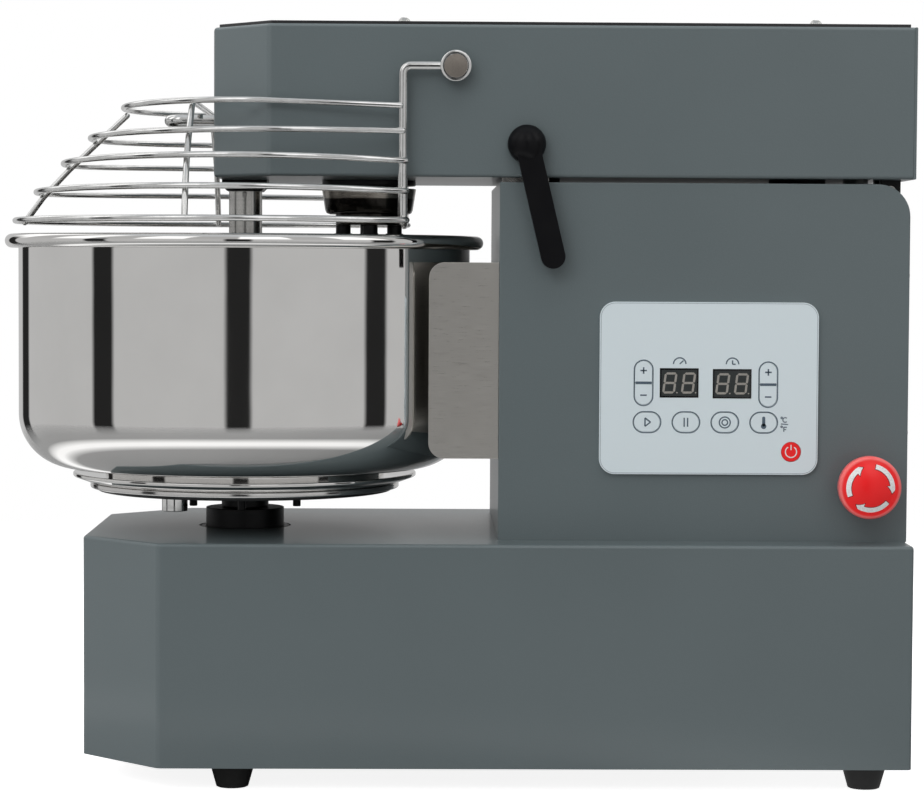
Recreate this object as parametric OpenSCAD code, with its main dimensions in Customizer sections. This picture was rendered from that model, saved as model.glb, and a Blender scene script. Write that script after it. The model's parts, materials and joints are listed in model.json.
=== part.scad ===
// Table-top spiral dough mixer: a tilting head carries a driven spiral, a breaker bar and
// a wire guard over a bowl that turns on the base.
// X runs from the front (-) to the rear (+), Y across, Z up. The operator's side is -Y.
// The origin is on the floor, midway between the front of the bowl rim and the back of the head.

/* [Base] */
// Distance from the origin to the back face of the base and column
rear_x = 294.9; // [280:0.1:310]
// Distance the base housing reaches in front of the bowl's axis
base_front = 100.4; // [90:0.1:120]
// Width of the base housing
base_w = 260; // [240:1:300]
// Height of the base housing without its feet
base_h = 143; // [135:1:170]
// Leg of the cut corners at the front of the base
base_corner = 53; // [30:1:60]
// Thickness of the folded sheet of all three housings
sheet_t = 1.5; // [1:0.1:2.5]
// Height of the rubber feet
foot_h = 15.5; // [10:0.5:25]
// Diameter of a foot where it meets the base
foot_d = 29; // [24:1:34]
// Distance of the front feet from the front of the base
foot_front = 99; // [80:1:130]
// Distance of the rear feet from the back of the base
foot_rear = 26.5; // [24:0.5:60]
// Distance of the feet from the middle plane
foot_y = 105; // [70:1:108]

/* [Column] */
// Length of the column, front to rear
column_l = 263.5; // [255:0.5:270]
// Distance the head reaches past each side of the column
head_lap = 2; // [1.5:0.1:3]
// Height of the column above the base
column_h = 230; // [225:1:260]
// Radius of the upper rear corner of the column
column_round = 21; // [18:0.5:24]
// Width of the cover on the back of the column
cover_w = 176; // [165:1:185]
// Thickness of the cover on the back
cover_t = 1.5; // [1:0.1:2]
// Height of the cover's lower edge above the floor
cover_z0 = 38; // [34:1:42]
// Height of the cover's upper edge above the floor
cover_z1 = 365; // [360:1:366]

/* [Head] */
// Distance the head housing reaches in front of the bowl's axis
head_front = 16.7; // [16:0.1:30]
// Width of the head housing
head_w = 206; // [204:1:212]
// Height of the head housing without its lid
head_h = 97; // [95:1:120]
// Leg of the cut corners at the front of the head
head_corner = 37.5; // [30:0.5:50]
// Gap between column and head, which the rest pads fill
head_gap = 3; // [2.5:0.1:4]
// Distance the head reaches past the back of the column
head_over = 1; // [0.5:0.1:1.5]
// Thickness of the lid on the head
lid_t = 2; // [1.5:0.1:3]
// Margin that the lid leaves round the top of the head
lid_inset = 3.6; // [2:0.1:5]
// Thickness of the plate on the back of the head
head_plate_t = 2.1; // [1.5:0.1:2.5]
// Distance of the tilt axis from the back of the column
hinge_in = 9.5; // [9:0.1:10.5]
// Distance of the tilt axis below the head
hinge_drop = 7; // [6.8:0.1:7.5]
// Radius of the hinge knuckles
knuckle_r = 6.5; // [6:0.1:6.6]
// Diameter of the hinge pins
hinge_pin_d = 7; // [6:0.1:8]

/* [Bowl] */
// Gap between the bowl's rim and the splash shield
bowl_gap = 6.6; // [3:0.1:12]
// Outer radius of the bowl's wall
bowl_r = 151.5; // [145:0.5:154]
// Thickness of the bowl's wall
bowl_t = 1.5; // [1:0.1:2.5]
// Diameter of the rolled bead on the bowl's rim
bead_d = 9.2; // [7:0.1:10]
// Radius of the bowl's lower corner
bowl_corner = 36; // [28:1:45]
// Height of the underside of the bowl above the floor
bowl_z0 = 199; // [194:0.5:200]
// Height of the top of the rim above the floor
bowl_z1 = 354.5; // [345:0.5:355]
// Radius of the turntable under the bowl
table_r = 104; // [90:0.5:108]
// Thickness of the turntable
table_t = 3.5; // [3:0.5:5]
// Diameter of the bowl's drive shaft and of the spiral's shaft
shaft_d = 20; // [16:0.5:22]
// Diameter of the release knob under the bowl
release_d = 17.3; // [14:0.1:20]

/* [Spiral and breaker bar] */
// Distance between the bowl's axis and the spiral's axis
spiral_offset = 83.2; // [82:0.1:84]
// Radius of the spiral's centre line round its axis
spiral_r = 53.5; // [50:0.5:58]
// Radius of the rod that the spiral is bent from
spiral_rod_r = 8; // [6:0.2:8.4]
// Turns that the spiral makes on its way down
spiral_turns = 1.3; // [1:0.05:1.6]
// Gap between the spiral's lowest point and the inside of the bowl
spiral_gap = 8; // [5:0.5:15]
// Diameter of the hub that carries the spiral
hub_d = 63.6; // [60:0.2:66]
// Diameter of the breaker bar
bar_d = 22.4; // [18:0.2:24]
// Gap between the breaker bar's tip and the inside of the bowl
bar_gap = 9; // [5:0.5:20]

/* [Wire guard] */
// Diameter of the hoops and ribs
wire_d = 4; // [3:0.1:4.4]
// Diameter of the two side wires that carry the hoops
frame_wire_d = 6; // [5:0.1:6.4]
// Gap between the side of the head and the middle of the guard's side wires
guard_gap = 7; // [6.5:0.1:10]
// Distance of the guard's pivot axis from the spiral's axis
guard_pivot_dx = 56.8; // [50:0.1:60]
// Distance of the guard's pivot axis below the top of the head
guard_pivot_drop = 27; // [24:0.5:32]
// Distance of the side wires in front of the pivot axis
guard_leg_dx = 33.5; // [28:0.5:36]
// Diameter of the pivot bosses
boss_d = 20; // [18:0.5:22]
// Front of each hoop as a distance in front of the bowl's axis, from the top hoop down
hoop_front = [81.4, 103.4, 121.4, 139.4, 153.4];
// Height of each hoop above the bowl's rim
hoop_up = [84.5, 65.8, 49, 29.5, 9.1];

/* [Controls] */
// Width of the control panel
panel_w = 140.5; // [136:0.5:146]
// Height of the control panel
panel_h = 110.6; // [104:0.2:118]
// Thickness of the control panel
panel_t = 2.4; // [2.2:0.1:3]
// Distance of the panel's middle from the back of the column
panel_back = 128.7; // [124:0.1:134]
// Height of the panel's middle above the base
panel_up = 98.6; // [90:0.1:110]
// Travel of the keys
key_travel = 0.6; // [0.3:0.1:0.8]
// Diameter of the emergency stop's mushroom head
estop_d = 40; // [36:0.5:44]
// Travel of the emergency stop
estop_travel = 5; // [4:0.5:6]
// Length of the head lock's lever, from its pivot to the middle of its round end
lever_l = 73.5; // [60:0.5:80]
// Width of the head lock's lever
lever_w = 15.5; // [12:0.5:18]
// Angle of the lever's arm from straight down, towards the rear
lever_lean = 13.4; // [0:0.1:25]

/* [Fits] */
// Radial clearance of a shaft in its bearing or bush
run_gap = 0.05; // [0.02:0.01:0.09]
// Clearance round pieces that are set into an opening
set_gap = 0.3; // [0.2:0.05:0.4]

/* [Hidden] */
$fn = 64;
tiny = 0.01;

// Levels and faces
base_z1 = foot_h + base_h;
column_z1 = base_z1 + column_h;
column_x0 = rear_x - column_l;
head_z0 = column_z1 + head_gap;
head_z1 = head_z0 + head_h;
head_x1 = rear_x + head_over;
floor_t = 2;
tray_h = 14;
base_ceiling = base_z1 - sheet_t;
column_ceiling = column_z1 - sheet_t;
head_floor = head_z0 + sheet_t;
head_side = head_w / 2;
column_side = head_side - head_lap;
column_w = 2 * column_side;
guard_y = head_side + guard_gap;

// Axes
bead_over = 0.2;            // depth of the bead's seat on the bowl's wall
bowl_x = column_x0 - sheet_t - bowl_gap - (bowl_r + bead_d - bead_over);
spiral_x = bowl_x + spiral_offset;
hinge_x = rear_x - hinge_in;
hinge_z = head_z0 - hinge_drop;
guard_x = spiral_x + guard_pivot_dx;
guard_z = head_z1 - guard_pivot_drop;
guard_leg_x = guard_x - guard_leg_dx;

// Fronts and lengths of the two long housings
base_x0 = bowl_x - base_front;
base_l = rear_x - base_x0;
head_x0 = bowl_x - head_front;
head_l = head_x1 - head_x0;

// ---------- shared shapes ----------

// Folded housing outline with two cut corners at the front, rear edge on x = 0
module housing_outline(length, width, corner) {
    polygon([
        [0, -width / 2], [0, width / 2], [corner - length, width / 2],
        [-length, width / 2 - corner], [-length, corner - width / 2],
        [corner - length, -width / 2]
    ]);
}

// The leg of a cut corner, one sheet further in
function inner_corner(corner, t) = corner - t * (2 - sqrt(2));

module ring(outer_d, inner_d, height) {
    difference() {
        cylinder(d = outer_d, h = height);
        translate([0, 0, -1]) cylinder(d = inner_d, h = height + 2);
    }
}

// Turns a shape drawn in x-y so that it stands in X-Z, its depth running towards -Y
module upright() {
    rotate([90, 0, 0]) children();
}

module rounded_rect(width, height, r) {
    square([width - 2 * r, height], center = true);
    square([width, height - 2 * r], center = true);
    for (x = [-1, 1], y = [-1, 1])
        translate([x * (width / 2 - r), y * (height / 2 - r)]) circle(r);
}

// Slot with round ends, its long side along y
module slot_outline(width, length) {
    square([width, length - width], center = true);
    for (side = [-1, 1]) translate([0, side * (length - width) / 2]) circle(d = width);
}

// Dome-headed screw along +Z, its head standing on z = 0
module dome_screw(head_d, head_h, shank_d, shank_l) {
    ball_r = (head_d * head_d / 4 + head_h * head_h) / (2 * head_h);
    intersection() {
        translate([0, 0, head_h - ball_r]) sphere(ball_r);
        cylinder(d = head_d, h = head_h + 1);
    }
    translate([0, 0, -shank_l]) cylinder(d = shank_d, h = shank_l + tiny);
}

// Flanged flat-belt pulley, its belt seat of radius r between z = 0 and z = width
module pulley(r, width, bore_d, lightening) {
    flange_t = 2;
    flange_up = 2.4;
    difference() {
        rotate_extrude() union() {
            translate([0, -flange_t]) square([r + flange_up, flange_t]);
            square([r, width]);
            translate([0, width]) square([r + flange_up, flange_t]);
        }
        translate([0, 0, -flange_t - 1]) cylinder(d = bore_d, h = width + 2 * flange_t + 2);
        if (lightening) for (a = [0:60:300]) rotate(a) translate([r * 0.6, 0, -flange_t - 1])
            cylinder(r = r * 0.2, h = width + 2 * flange_t + 2);
    }
}

// Outline round two pulleys, the larger at the origin and the smaller at x = distance
module belt_outline(r_large, r_small, distance) {
    a = acos((r_large - r_small) / distance);
    circle(r_large);
    translate([distance, 0]) circle(r_small);
    polygon([
        [r_large * cos(a), r_large * sin(a)],
        [distance + r_small * cos(a), r_small * sin(a)],
        [distance + r_small * cos(a), -r_small * sin(a)],
        [r_large * cos(a), -r_large * sin(a)]
    ]);
}

module belt(r_large, r_small, distance, width) {
    linear_extrude(width) difference() {
        belt_outline(r_large + belt_t, r_small + belt_t, distance);
        belt_outline(r_large + belt_play, r_small + belt_play, distance);
    }
}
belt_w = 12;
belt_t = 3;
belt_play = 0.1;

// A round wire swept along points, with a ring of n sides at each point; the wire stays in
// the plane whose normal is given
function wire_dir(p, i) = let (v = p[min(i + 1, len(p) - 1)] - p[max(i - 1, 0)]) v / norm(v);
function wire_ring(p, i, d, n, normal) = let (
        u = cross(normal, wire_dir(p, i))
    ) [for (k = [0:n - 1]) p[i] + d / 2 * (normal * cos(360 * k / n) + u * sin(360 * k / n))];
module swept_wire(p, d, n, normal) {
    m = len(p);
    polyhedron(
        points = [for (i = [0:m - 1]) each wire_ring(p, i, d, n, normal)],
        faces = concat(
            [[for (k = [0:n - 1]) k]],
            [for (i = [0:m - 2], k = [0:n - 1])
                [i * n + k, (i + 1) * n + k, (i + 1) * n + (k + 1) % n, i * n + (k + 1) % n]],
            [[for (k = [n - 1:-1:0]) (m - 1) * n + k]]));
}
// Round bend from a to b whose corner would be at p
function bend(a, p, b, steps) = [for (i = [0:steps]) let (t = i / steps)
    (1 - t) * (1 - t) * a + 2 * t * (1 - t) * p + t * t * b];

// ---------- base ----------

seat_hole_d = 62;           // opening in the base's top round the bowl's bearing housing
service_w = 144;            // width of the service openings behind the rear cover
foot_places = [
    for (x = [base_x0 + foot_front, rear_x - foot_rear], y = [-foot_y, foot_y]) [x, y]
];
foot_stud_d = 8;
foot_hole_d = 8.4;
vent_w = 5;
vent_l = 70;
vent_pitch = 12;

module base_shell() {
    color([0.36, 0.4, 0.4]) difference() {
        translate([rear_x, 0, foot_h]) linear_extrude(base_h)
            housing_outline(base_l, base_w, base_corner);
        translate([rear_x - sheet_t, 0, foot_h - 1]) linear_extrude(base_h - sheet_t + 1)
            housing_outline(base_l - 2 * sheet_t, base_w - 2 * sheet_t,
                inner_corner(base_corner, sheet_t));
        translate([bowl_x, 0, base_ceiling - 1]) cylinder(d = seat_hole_d, h = sheet_t + 2);
        // cable passage into the column
        translate([rear_x - 100, -40, base_ceiling - 1]) cube([60, 80, sheet_t + 2]);
        // service opening behind the rear cover
        translate([rear_x - sheet_t - 1, -service_w / 2, cover_z0 + 18])
            cube([sheet_t + 2, service_w, base_ceiling - cover_z0 - 26]);
        cover_screw_holes(base_screw_z, cover_screw_d + 0.2);
    }
}

module base_bottom_plate() {
    inset = sheet_t + set_gap;
    color([0.3, 0.32, 0.33]) difference() {
        translate([rear_x - inset, 0, foot_h]) linear_extrude(tray_h)
            housing_outline(base_l - 2 * inset, base_w - 2 * inset,
                inner_corner(base_corner, inset));
        translate([rear_x - inset - sheet_t, 0, foot_h + floor_t]) linear_extrude(tray_h)
            housing_outline(base_l - 2 * (inset + sheet_t), base_w - 2 * (inset + sheet_t),
                inner_corner(base_corner, inset + sheet_t));
        for (p = foot_places) translate([p.x, p.y, foot_h - 1])
            cylinder(d = foot_hole_d, h = floor_t + 2);
        // ventilation slots under the motor
        for (i = [-4:4]) translate([bowl_motor_x + i * vent_pitch, 0, foot_h - 1])
            linear_extrude(floor_t + 2) slot_outline(vent_w, vent_l);
    }
}

module feet() {
    foot_tip_d = foot_d - 8;
    nut_h = 6;
    color([0.06, 0.06, 0.06]) for (p = foot_places) translate([p.x, p.y, 0]) {
        difference() {
            cylinder(d1 = foot_tip_d, d2 = foot_d, h = foot_h);
            translate([0, 0, -1]) cylinder(d = foot_tip_d - 10, h = 4);
        }
        translate([0, 0, foot_h - tiny]) cylinder(d = foot_stud_d, h = floor_t + nut_h + 3);
        translate([0, 0, foot_h + floor_t]) cylinder(d = 15, h = nut_h, $fn = 6);
    }
}

// ---------- column ----------

module column_profile(length, height, r) {
    square([length - r, height]);
    square([length, height - r]);
    translate([length - r, height - r]) circle(r);
}

hinge_y = 65;               // middle of each hinge from the middle plane
hinge_w = 34;               // pocket for one hinge along Y
root_knuckle_w = 14;
leaf_knuckle_w = 8;
knuckle_play = 0.3;
lug_y = 13.5 - head_side;   // middle of the lock's lug
lug_t = 5;
lug_l = 30;
estop_x = rear_x - 28;
estop_z = base_z1 + 36.9;
estop_barrel_d = 22;
panel_x = rear_x - panel_back;
panel_z = base_z1 + panel_up;
shield_z0 = base_z1 + 52.5;
shield_h = 126;
shield_reach = 45;

module column_shell() {
    color([0.36, 0.4, 0.4]) difference() {
        translate([column_x0, column_side, base_z1]) upright()
            linear_extrude(column_w) column_profile(column_l, column_h, column_round);
        translate([column_x0 + sheet_t, column_side - sheet_t, base_z1 - 1]) upright()
            linear_extrude(column_w - 2 * sheet_t)
                column_profile(column_l - 2 * sheet_t, column_h - sheet_t + 1,
                    column_round - sheet_t);
        // service opening behind the rear cover
        translate([rear_x - sheet_t - 1, -service_w / 2, base_z1 + 10])
            cube([sheet_t + 2, service_w, cover_z1 - base_z1 - 25]);
        // pockets for the two hinges
        for (side = [-1, 1]) translate([hinge_x - knuckle_r - 1,
                side * hinge_y - hinge_w / 2, hinge_z - knuckle_r - 1])
            cube([column_l, hinge_w, column_h]);
        // slot for the lock's lug
        translate([latch_x - lug_l / 2 - set_gap, lug_y - lug_t / 2 - set_gap,
                column_ceiling - 1])
            cube([lug_l + 2 * set_gap, lug_t + 2 * set_gap, sheet_t + 2]);
        // windows behind the control panel
        translate([panel_x, -column_side + sheet_t + 1, panel_z]) upright()
            linear_extrude(sheet_t + 2) panel_windows();
        translate([estop_x, -column_side + sheet_t + 1, estop_z]) upright()
            cylinder(d = estop_barrel_d + 2 * set_gap, h = sheet_t + 2);
        cover_screw_holes(column_screw_z, cover_screw_d + 0.2);
    }
}

cover_screw_d = 4;
cover_head_d = 7.4;
cover_head_h = 2.3;
cover_screw_y = cover_w / 2 - 8;
base_screw_z = [cover_z0 + 9.6];
column_screw_z = [base_z1 + 69.5, base_z1 + 171.5];

module cover_screw_holes(levels, d) {
    for (z = levels, side = [-1, 1])
        translate([rear_x - 5, side * cover_screw_y, z]) rotate([0, 90, 0])
            cylinder(d = d, h = 12);
}

module rear_cover() {
    slot_l = 46;
    color([0.07, 0.07, 0.08]) difference() {
        translate([rear_x, -cover_w / 2, cover_z0])
            cube([cover_t, cover_w, cover_z1 - cover_z0]);
        cover_screw_holes(concat(base_screw_z, column_screw_z), cover_screw_d + 0.2);
        // two columns of ventilation slots
        for (side = [-1, 1], i = [0:9])
            translate([rear_x - 1, side * 36, base_z1 + 46 + i * 10]) rotate([0, 90, 0])
                linear_extrude(cover_t + 2) slot_outline(4, slot_l);
        translate([rear_x - 1, inlet_y, inlet_z]) rotate([0, 90, 0])
            linear_extrude(cover_t + 2)
                square([inlet_h + 2 * set_gap, inlet_w + 2 * set_gap], center = true);
    }
}

module rear_cover_screws() {
    color("silver") for (z = concat(base_screw_z, column_screw_z), side = [-1, 1])
        translate([rear_x + cover_t, side * cover_screw_y, z]) rotate([0, 90, 0])
            dome_screw(cover_head_d, cover_head_h, cover_screw_d, 7);
}

inlet_w = 27;
inlet_h = 20;
inlet_y = 46;
inlet_z = cover_z0 + 42;

// Recessed appliance inlet with three blades
module power_inlet() {
    depth = 24;
    socket_depth = 15;
    color([0.08, 0.08, 0.08]) difference() {
        translate([rear_x + cover_t - depth, inlet_y, inlet_z]) rotate([0, 90, 0]) union() {
            linear_extrude(depth) square([inlet_h, inlet_w], center = true);
            linear_extrude(depth - cover_t - 0.2)
                square([inlet_h + 8, inlet_w + 20], center = true);
        }
        translate([rear_x + cover_t - socket_depth, inlet_y, inlet_z]) rotate([0, 90, 0])
            linear_extrude(socket_depth + 1) rounded_rect(inlet_h - 4, inlet_w - 4, 2);
    }
    color("silver") for (p = [[0, -7], [0, 7], [-4, 0]])
        translate([rear_x + cover_t - socket_depth - 1, inlet_y + p.y, inlet_z + p.x])
            rotate([0, 90, 0]) linear_extrude(12) square([4, 2], center = true);
}

// Folded steel shield between the bowl and the column, with a wing on each side
module splash_shield() {
    corner_r = 10;
    shield_w = column_w - 3;
    color([0.75, 0.74, 0.72]) {
        translate([column_x0 - sheet_t, -shield_w / 2, shield_z0])
            cube([sheet_t, shield_w, shield_h]);
        for (side = [0, 1]) mirror([0, side, 0])
            translate([column_x0 - shield_reach, shield_w / 2, shield_z0]) upright()
                linear_extrude(sheet_t) union() {
                    translate([corner_r, 0]) square([shield_reach - corner_r, shield_h]);
                    translate([0, corner_r]) square([corner_r + 1, shield_h - 2 * corner_r]);
                    for (z = [corner_r, shield_h - corner_r])
                        translate([corner_r, z]) circle(corner_r);
                }
    }
}

// ---------- hinge and head lock ----------

module along_y(y0, length) {
    translate([0, y0 + length, 0]) rotate([90, 0, 0]) children();
}

// Blocks under the column's top, each with one knuckle that stands out of its pocket
module hinge_brackets() {
    block_z0 = hinge_z - 24.5;
    plate_l = 47;
    color([0.07, 0.07, 0.07]) for (side = [-1, 1]) translate([0, side * hinge_y, 0])
        difference() {
            union() {
                translate([hinge_x - 23, -hinge_w / 2 + 1, block_z0])
                    cube([24, hinge_w - 2, hinge_z - 8 - block_z0]);
                translate([column_x0 + column_l - column_round - 2 - plate_l,
                        -hinge_w / 2 + 1, column_ceiling - 5])
                    cube([plate_l, hinge_w - 2, 5]);
                translate([hinge_x - 23, -hinge_w / 2 + 1, block_z0])
                    cube([10, hinge_w - 2, column_ceiling - block_z0]);
                translate([hinge_x - knuckle_r + 0.5, -root_knuckle_w / 2, hinge_z - 9])
                    cube([2 * knuckle_r - 1, root_knuckle_w, 9]);
                translate([hinge_x, 0, hinge_z])
                    along_y(-root_knuckle_w / 2, root_knuckle_w)
                        cylinder(r = knuckle_r, h = root_knuckle_w);
            }
            translate([hinge_x, 0, hinge_z]) along_y(-hinge_w, 2 * hinge_w)
                cylinder(d = hinge_pin_d + 2 * run_gap, h = 2 * hinge_w);
        }
}

module hinge_pins() {
    pin_l = root_knuckle_w + 2 * (leaf_knuckle_w + knuckle_play);
    color("silver") for (side = [-1, 1])
        translate([hinge_x, side * hinge_y, hinge_z]) along_y(-pin_l / 2, pin_l)
            cylinder(d = hinge_pin_d, h = pin_l);
}

// Leaves on the head's floor, each with two knuckles that reach down through the floor
module head_hinge_leaves() {
    leaf_l = 46;
    leaf_t = 4;
    color([0.3, 0.3, 0.31]) for (side = [-1, 1]) translate([0, side * hinge_y, 0]) {
        difference() {
            union() {
                translate([hinge_x + knuckle_r - leaf_l, -hinge_w / 2 + 1, head_floor])
                    cube([leaf_l, hinge_w - 2, leaf_t]);
                for (k = [-1, 1]) translate([hinge_x, 0, hinge_z]) {
                    y0 = k * (root_knuckle_w / 2 + knuckle_play + leaf_knuckle_w / 2)
                        - leaf_knuckle_w / 2;
                    along_y(y0, leaf_knuckle_w) cylinder(r = knuckle_r, h = leaf_knuckle_w);
                    translate([-knuckle_r, y0, 0])
                        cube([2 * knuckle_r, leaf_knuckle_w, head_floor + leaf_t - hinge_z]);
                }
            }
            translate([hinge_x, 0, hinge_z]) along_y(-hinge_w, 2 * hinge_w)
                cylinder(d = hinge_pin_d + 2 * run_gap, h = 2 * hinge_w);
        }
    }
}

latch_x = column_x0 + 16.8;
latch_z = head_z0 + 21;
spindle_d = 12;

// Lug on the column with an open slot, which leans back along the spindle's path
module latch_lug() {
    lug_z0 = column_ceiling - 16;
    lug_top = latch_z + 11.5;
    slot_lean = 8;
    color([0.5, 0.5, 0.52]) {
        translate([latch_x - lug_l / 2, lug_y + lug_t / 2, 0]) upright() linear_extrude(lug_t)
            difference() {
                translate([0, lug_z0]) square([lug_l, lug_top - lug_z0]);
                translate([lug_l / 2, latch_z]) {
                    circle(d = spindle_d + 0.6);
                    rotate(-slot_lean) translate([-spindle_d / 2 - 0.3, 0])
                        square([spindle_d + 0.6, 30]);
                    translate([-spindle_d / 2 - 0.3, 0]) square([spindle_d + 0.6, 30]);
                }
            }
        translate([latch_x - lug_l / 2, lug_y, column_ceiling - 4]) cube([lug_l, 26, 4]);
    }
}

module head_rest_pads() {
    color([0.06, 0.06, 0.06])
        for (x = [column_x0 + 30, rear_x - 60], y = [-1, 1])
            translate([x, y * (column_side - 35), column_z1]) cylinder(d = 20, h = head_gap);
}

// Lever, domed hub and the short spindle whose collar clamps the lug
module lock_lever() {
    hub_r = 12.2;
    hub_y0 = -head_side - 1;
    hub_t = 15;
    arm_t = 7.5;
    dome_h = 8;
    dome_r = (hub_r * hub_r + dome_h * dome_h) / (2 * dome_h);
    collar_t = 4;
    spindle_l = head_side + 1 - abs(lug_y) + lug_t / 2 + 0.3 + collar_t;
    color([0.05, 0.05, 0.05]) translate([latch_x, hub_y0, latch_z]) upright() {
        cylinder(r = hub_r, h = hub_t - dome_h);
        translate([0, 0, hub_t - dome_h]) intersection() {
            translate([0, 0, dome_h - dome_r]) sphere(dome_r);
            cylinder(r = hub_r, h = dome_h + 1);
        }
        rotate(lever_lean) translate([0, 0, 3.5]) linear_extrude(arm_t) union() {
            translate([-lever_w / 2, -lever_l]) square([lever_w, lever_l]);
            translate([0, -lever_l]) circle(d = lever_w);
        }
    }
    color("silver") translate([latch_x, hub_y0 + tiny, latch_z]) rotate([-90, 0, 0]) {
        cylinder(d = spindle_d, h = spindle_l);
        translate([0, 0, spindle_l - collar_t]) cylinder(d = 24, h = collar_t);
    }
}

// ---------- controls ----------

display_w = 25;
display_h = 19;
// Offsets from the panel's middle: towards the rear, and up
display_at = [[-19.1, 3.4], [14.9, 3]];
pill_at = [[-42, 3.4], [38.1, 2.6]];
pill_w = 11.5;
pill_h = 28.6;
row_key_at = [[-39.6, -21.8], [-14.6, -21.8], [10.4, -21.8], [35.4, -21.8]];
row_key_w = 17.2;
row_key_h = 12.9;
power_key_at = [53.2, -40.6];
power_key_d = 13;
key_gap = 0.25;
key_lip = 1;
key_lip_t = 0.8;
panel_corner = 10;
board_t = 1.6;
board_y = -column_side + 9;

module row_key_outline(grow) {
    rounded_rect(row_key_w + 2 * grow, row_key_h + 2 * grow, row_key_h / 2 + grow - tiny);
}
module pill_outline(grow) {
    rounded_rect(pill_w + 2 * grow, pill_h + 2 * grow, pill_w / 2 + grow - tiny);
}
// Upper (1) or lower (-1) half of a two-way pill key, split at its middle
module half_pill_outline(half, grow) {
    intersection() {
        pill_outline(grow);
        translate([-pill_w, half > 0 ? key_gap / 2 : -pill_h - key_gap / 2])
            square([2 * pill_w, pill_h]);
    }
}

module panel_windows() {
    main_w = 104;
    main_h = 52;
    translate([-3, -5]) square([main_w, main_h], center = true);
    translate(power_key_at) circle(d = power_key_d + 2 * key_lip + 1);
}

module control_panel() {
    color([0.93, 0.93, 0.93]) translate([panel_x, -column_side, panel_z]) upright()
        linear_extrude(panel_t) difference() {
            rounded_rect(panel_w, panel_h, panel_corner);
            for (p = display_at) translate(p) square([display_w, display_h], center = true);
            for (p = pill_at) translate(p) pill_outline(0);
            for (p = row_key_at) translate(p) row_key_outline(0);
            translate(power_key_at) circle(d = power_key_d);
        }
}

module display_modules() {
    color([0.03, 0.03, 0.03]) for (p = display_at)
        translate([panel_x + p.x, board_y, panel_z + p.y]) upright()
            linear_extrude(column_side + panel_t - 0.4 + board_y)
                square([display_w - 0.4, display_h - 0.4], center = true);
}

module controller_board() {
    board_w = 122;
    board_h = 62;
    post_l = column_side - sheet_t + board_y;
    color([0.05, 0.3, 0.15]) translate([panel_x, board_y + board_t, panel_z - 5]) upright() {
        linear_extrude(board_t) square([board_w, board_h], center = true);
        for (x = [-1, 1], z = [-1, 1])
            translate([x * (board_w / 2 - 4), z * (board_h / 2 - 3), board_t - tiny])
                cylinder(d = 5, h = post_l + tiny);
        // tact switches behind the keys
        for (p = [for (a = pill_at, s = [-1, 1]) a + [0, s * pill_h / 4], for (b = row_key_at) b])
            translate([p.x, p.y + 5, board_t - tiny])
                linear_extrude(3) square([5, 5], center = true);
    }
}

// A key: a cap in the panel, a lip behind it and a stem towards its switch
module key(at, stem_at) {
    lip_play = 0.05;
    switch_h = 3;
    stem_l = column_side + board_y - key_lip_t - switch_h - key_travel - set_gap;
    translate([panel_x + at.x, -column_side, panel_z + at.y]) upright() {
        translate([0, 0, -lip_play - tiny]) linear_extrude(panel_t + tiny + lip_play) children(0);
        translate([0, 0, -lip_play - key_lip_t]) linear_extrude(key_lip_t) children(1);
        translate([stem_at.x, stem_at.y, -lip_play - key_lip_t - stem_l])
            cylinder(d = 4, h = stem_l + tiny);
    }
}
module half_key(at, half) {
    color([0.9, 0.9, 0.9]) key(at, [0, half * pill_h / 4]) {
        half_pill_outline(half, -key_gap);
        half_pill_outline(half, key_lip);
    }
}
module row_key(at) {
    color([0.9, 0.9, 0.9]) key(at, [0, 0]) {
        row_key_outline(-key_gap);
        row_key_outline(key_lip);
    }
}
module speed_up_key() { half_key(pill_at[0], 1); }
module speed_down_key() { half_key(pill_at[0], -1); }
module timer_up_key() { half_key(pill_at[1], 1); }
module timer_down_key() { half_key(pill_at[1], -1); }
module start_key() { row_key(row_key_at[0]); }
module pause_key() { row_key(row_key_at[1]); }
module mode_key() { row_key(row_key_at[2]); }
module heat_key() { row_key(row_key_at[3]); }
module power_key() {
    color([0.75, 0.05, 0.06]) key(power_key_at, [0, 0]) {
        circle(d = power_key_d - 2 * key_gap);
        circle(d = power_key_d + 2 * key_lip);
    }
}

// Electronics box that drives both motors, on the far wall of the column
module speed_drive() {
    drive_w = 110;
    drive_d = 56;
    drive_h = 126;
    fins = 9;
    color([0.45, 0.46, 0.48]) translate([column_x0 + 90, column_side - sheet_t, base_z1 + 50])
        mirror([0, 1, 0]) {
            cube([drive_w, drive_d - 14, drive_h]);
            for (i = [0:fins - 1]) translate([4 + i * (drive_w - 10) / (fins - 1), 0, 4])
                cube([2, drive_d, drive_h - 8]);
        }
}

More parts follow.
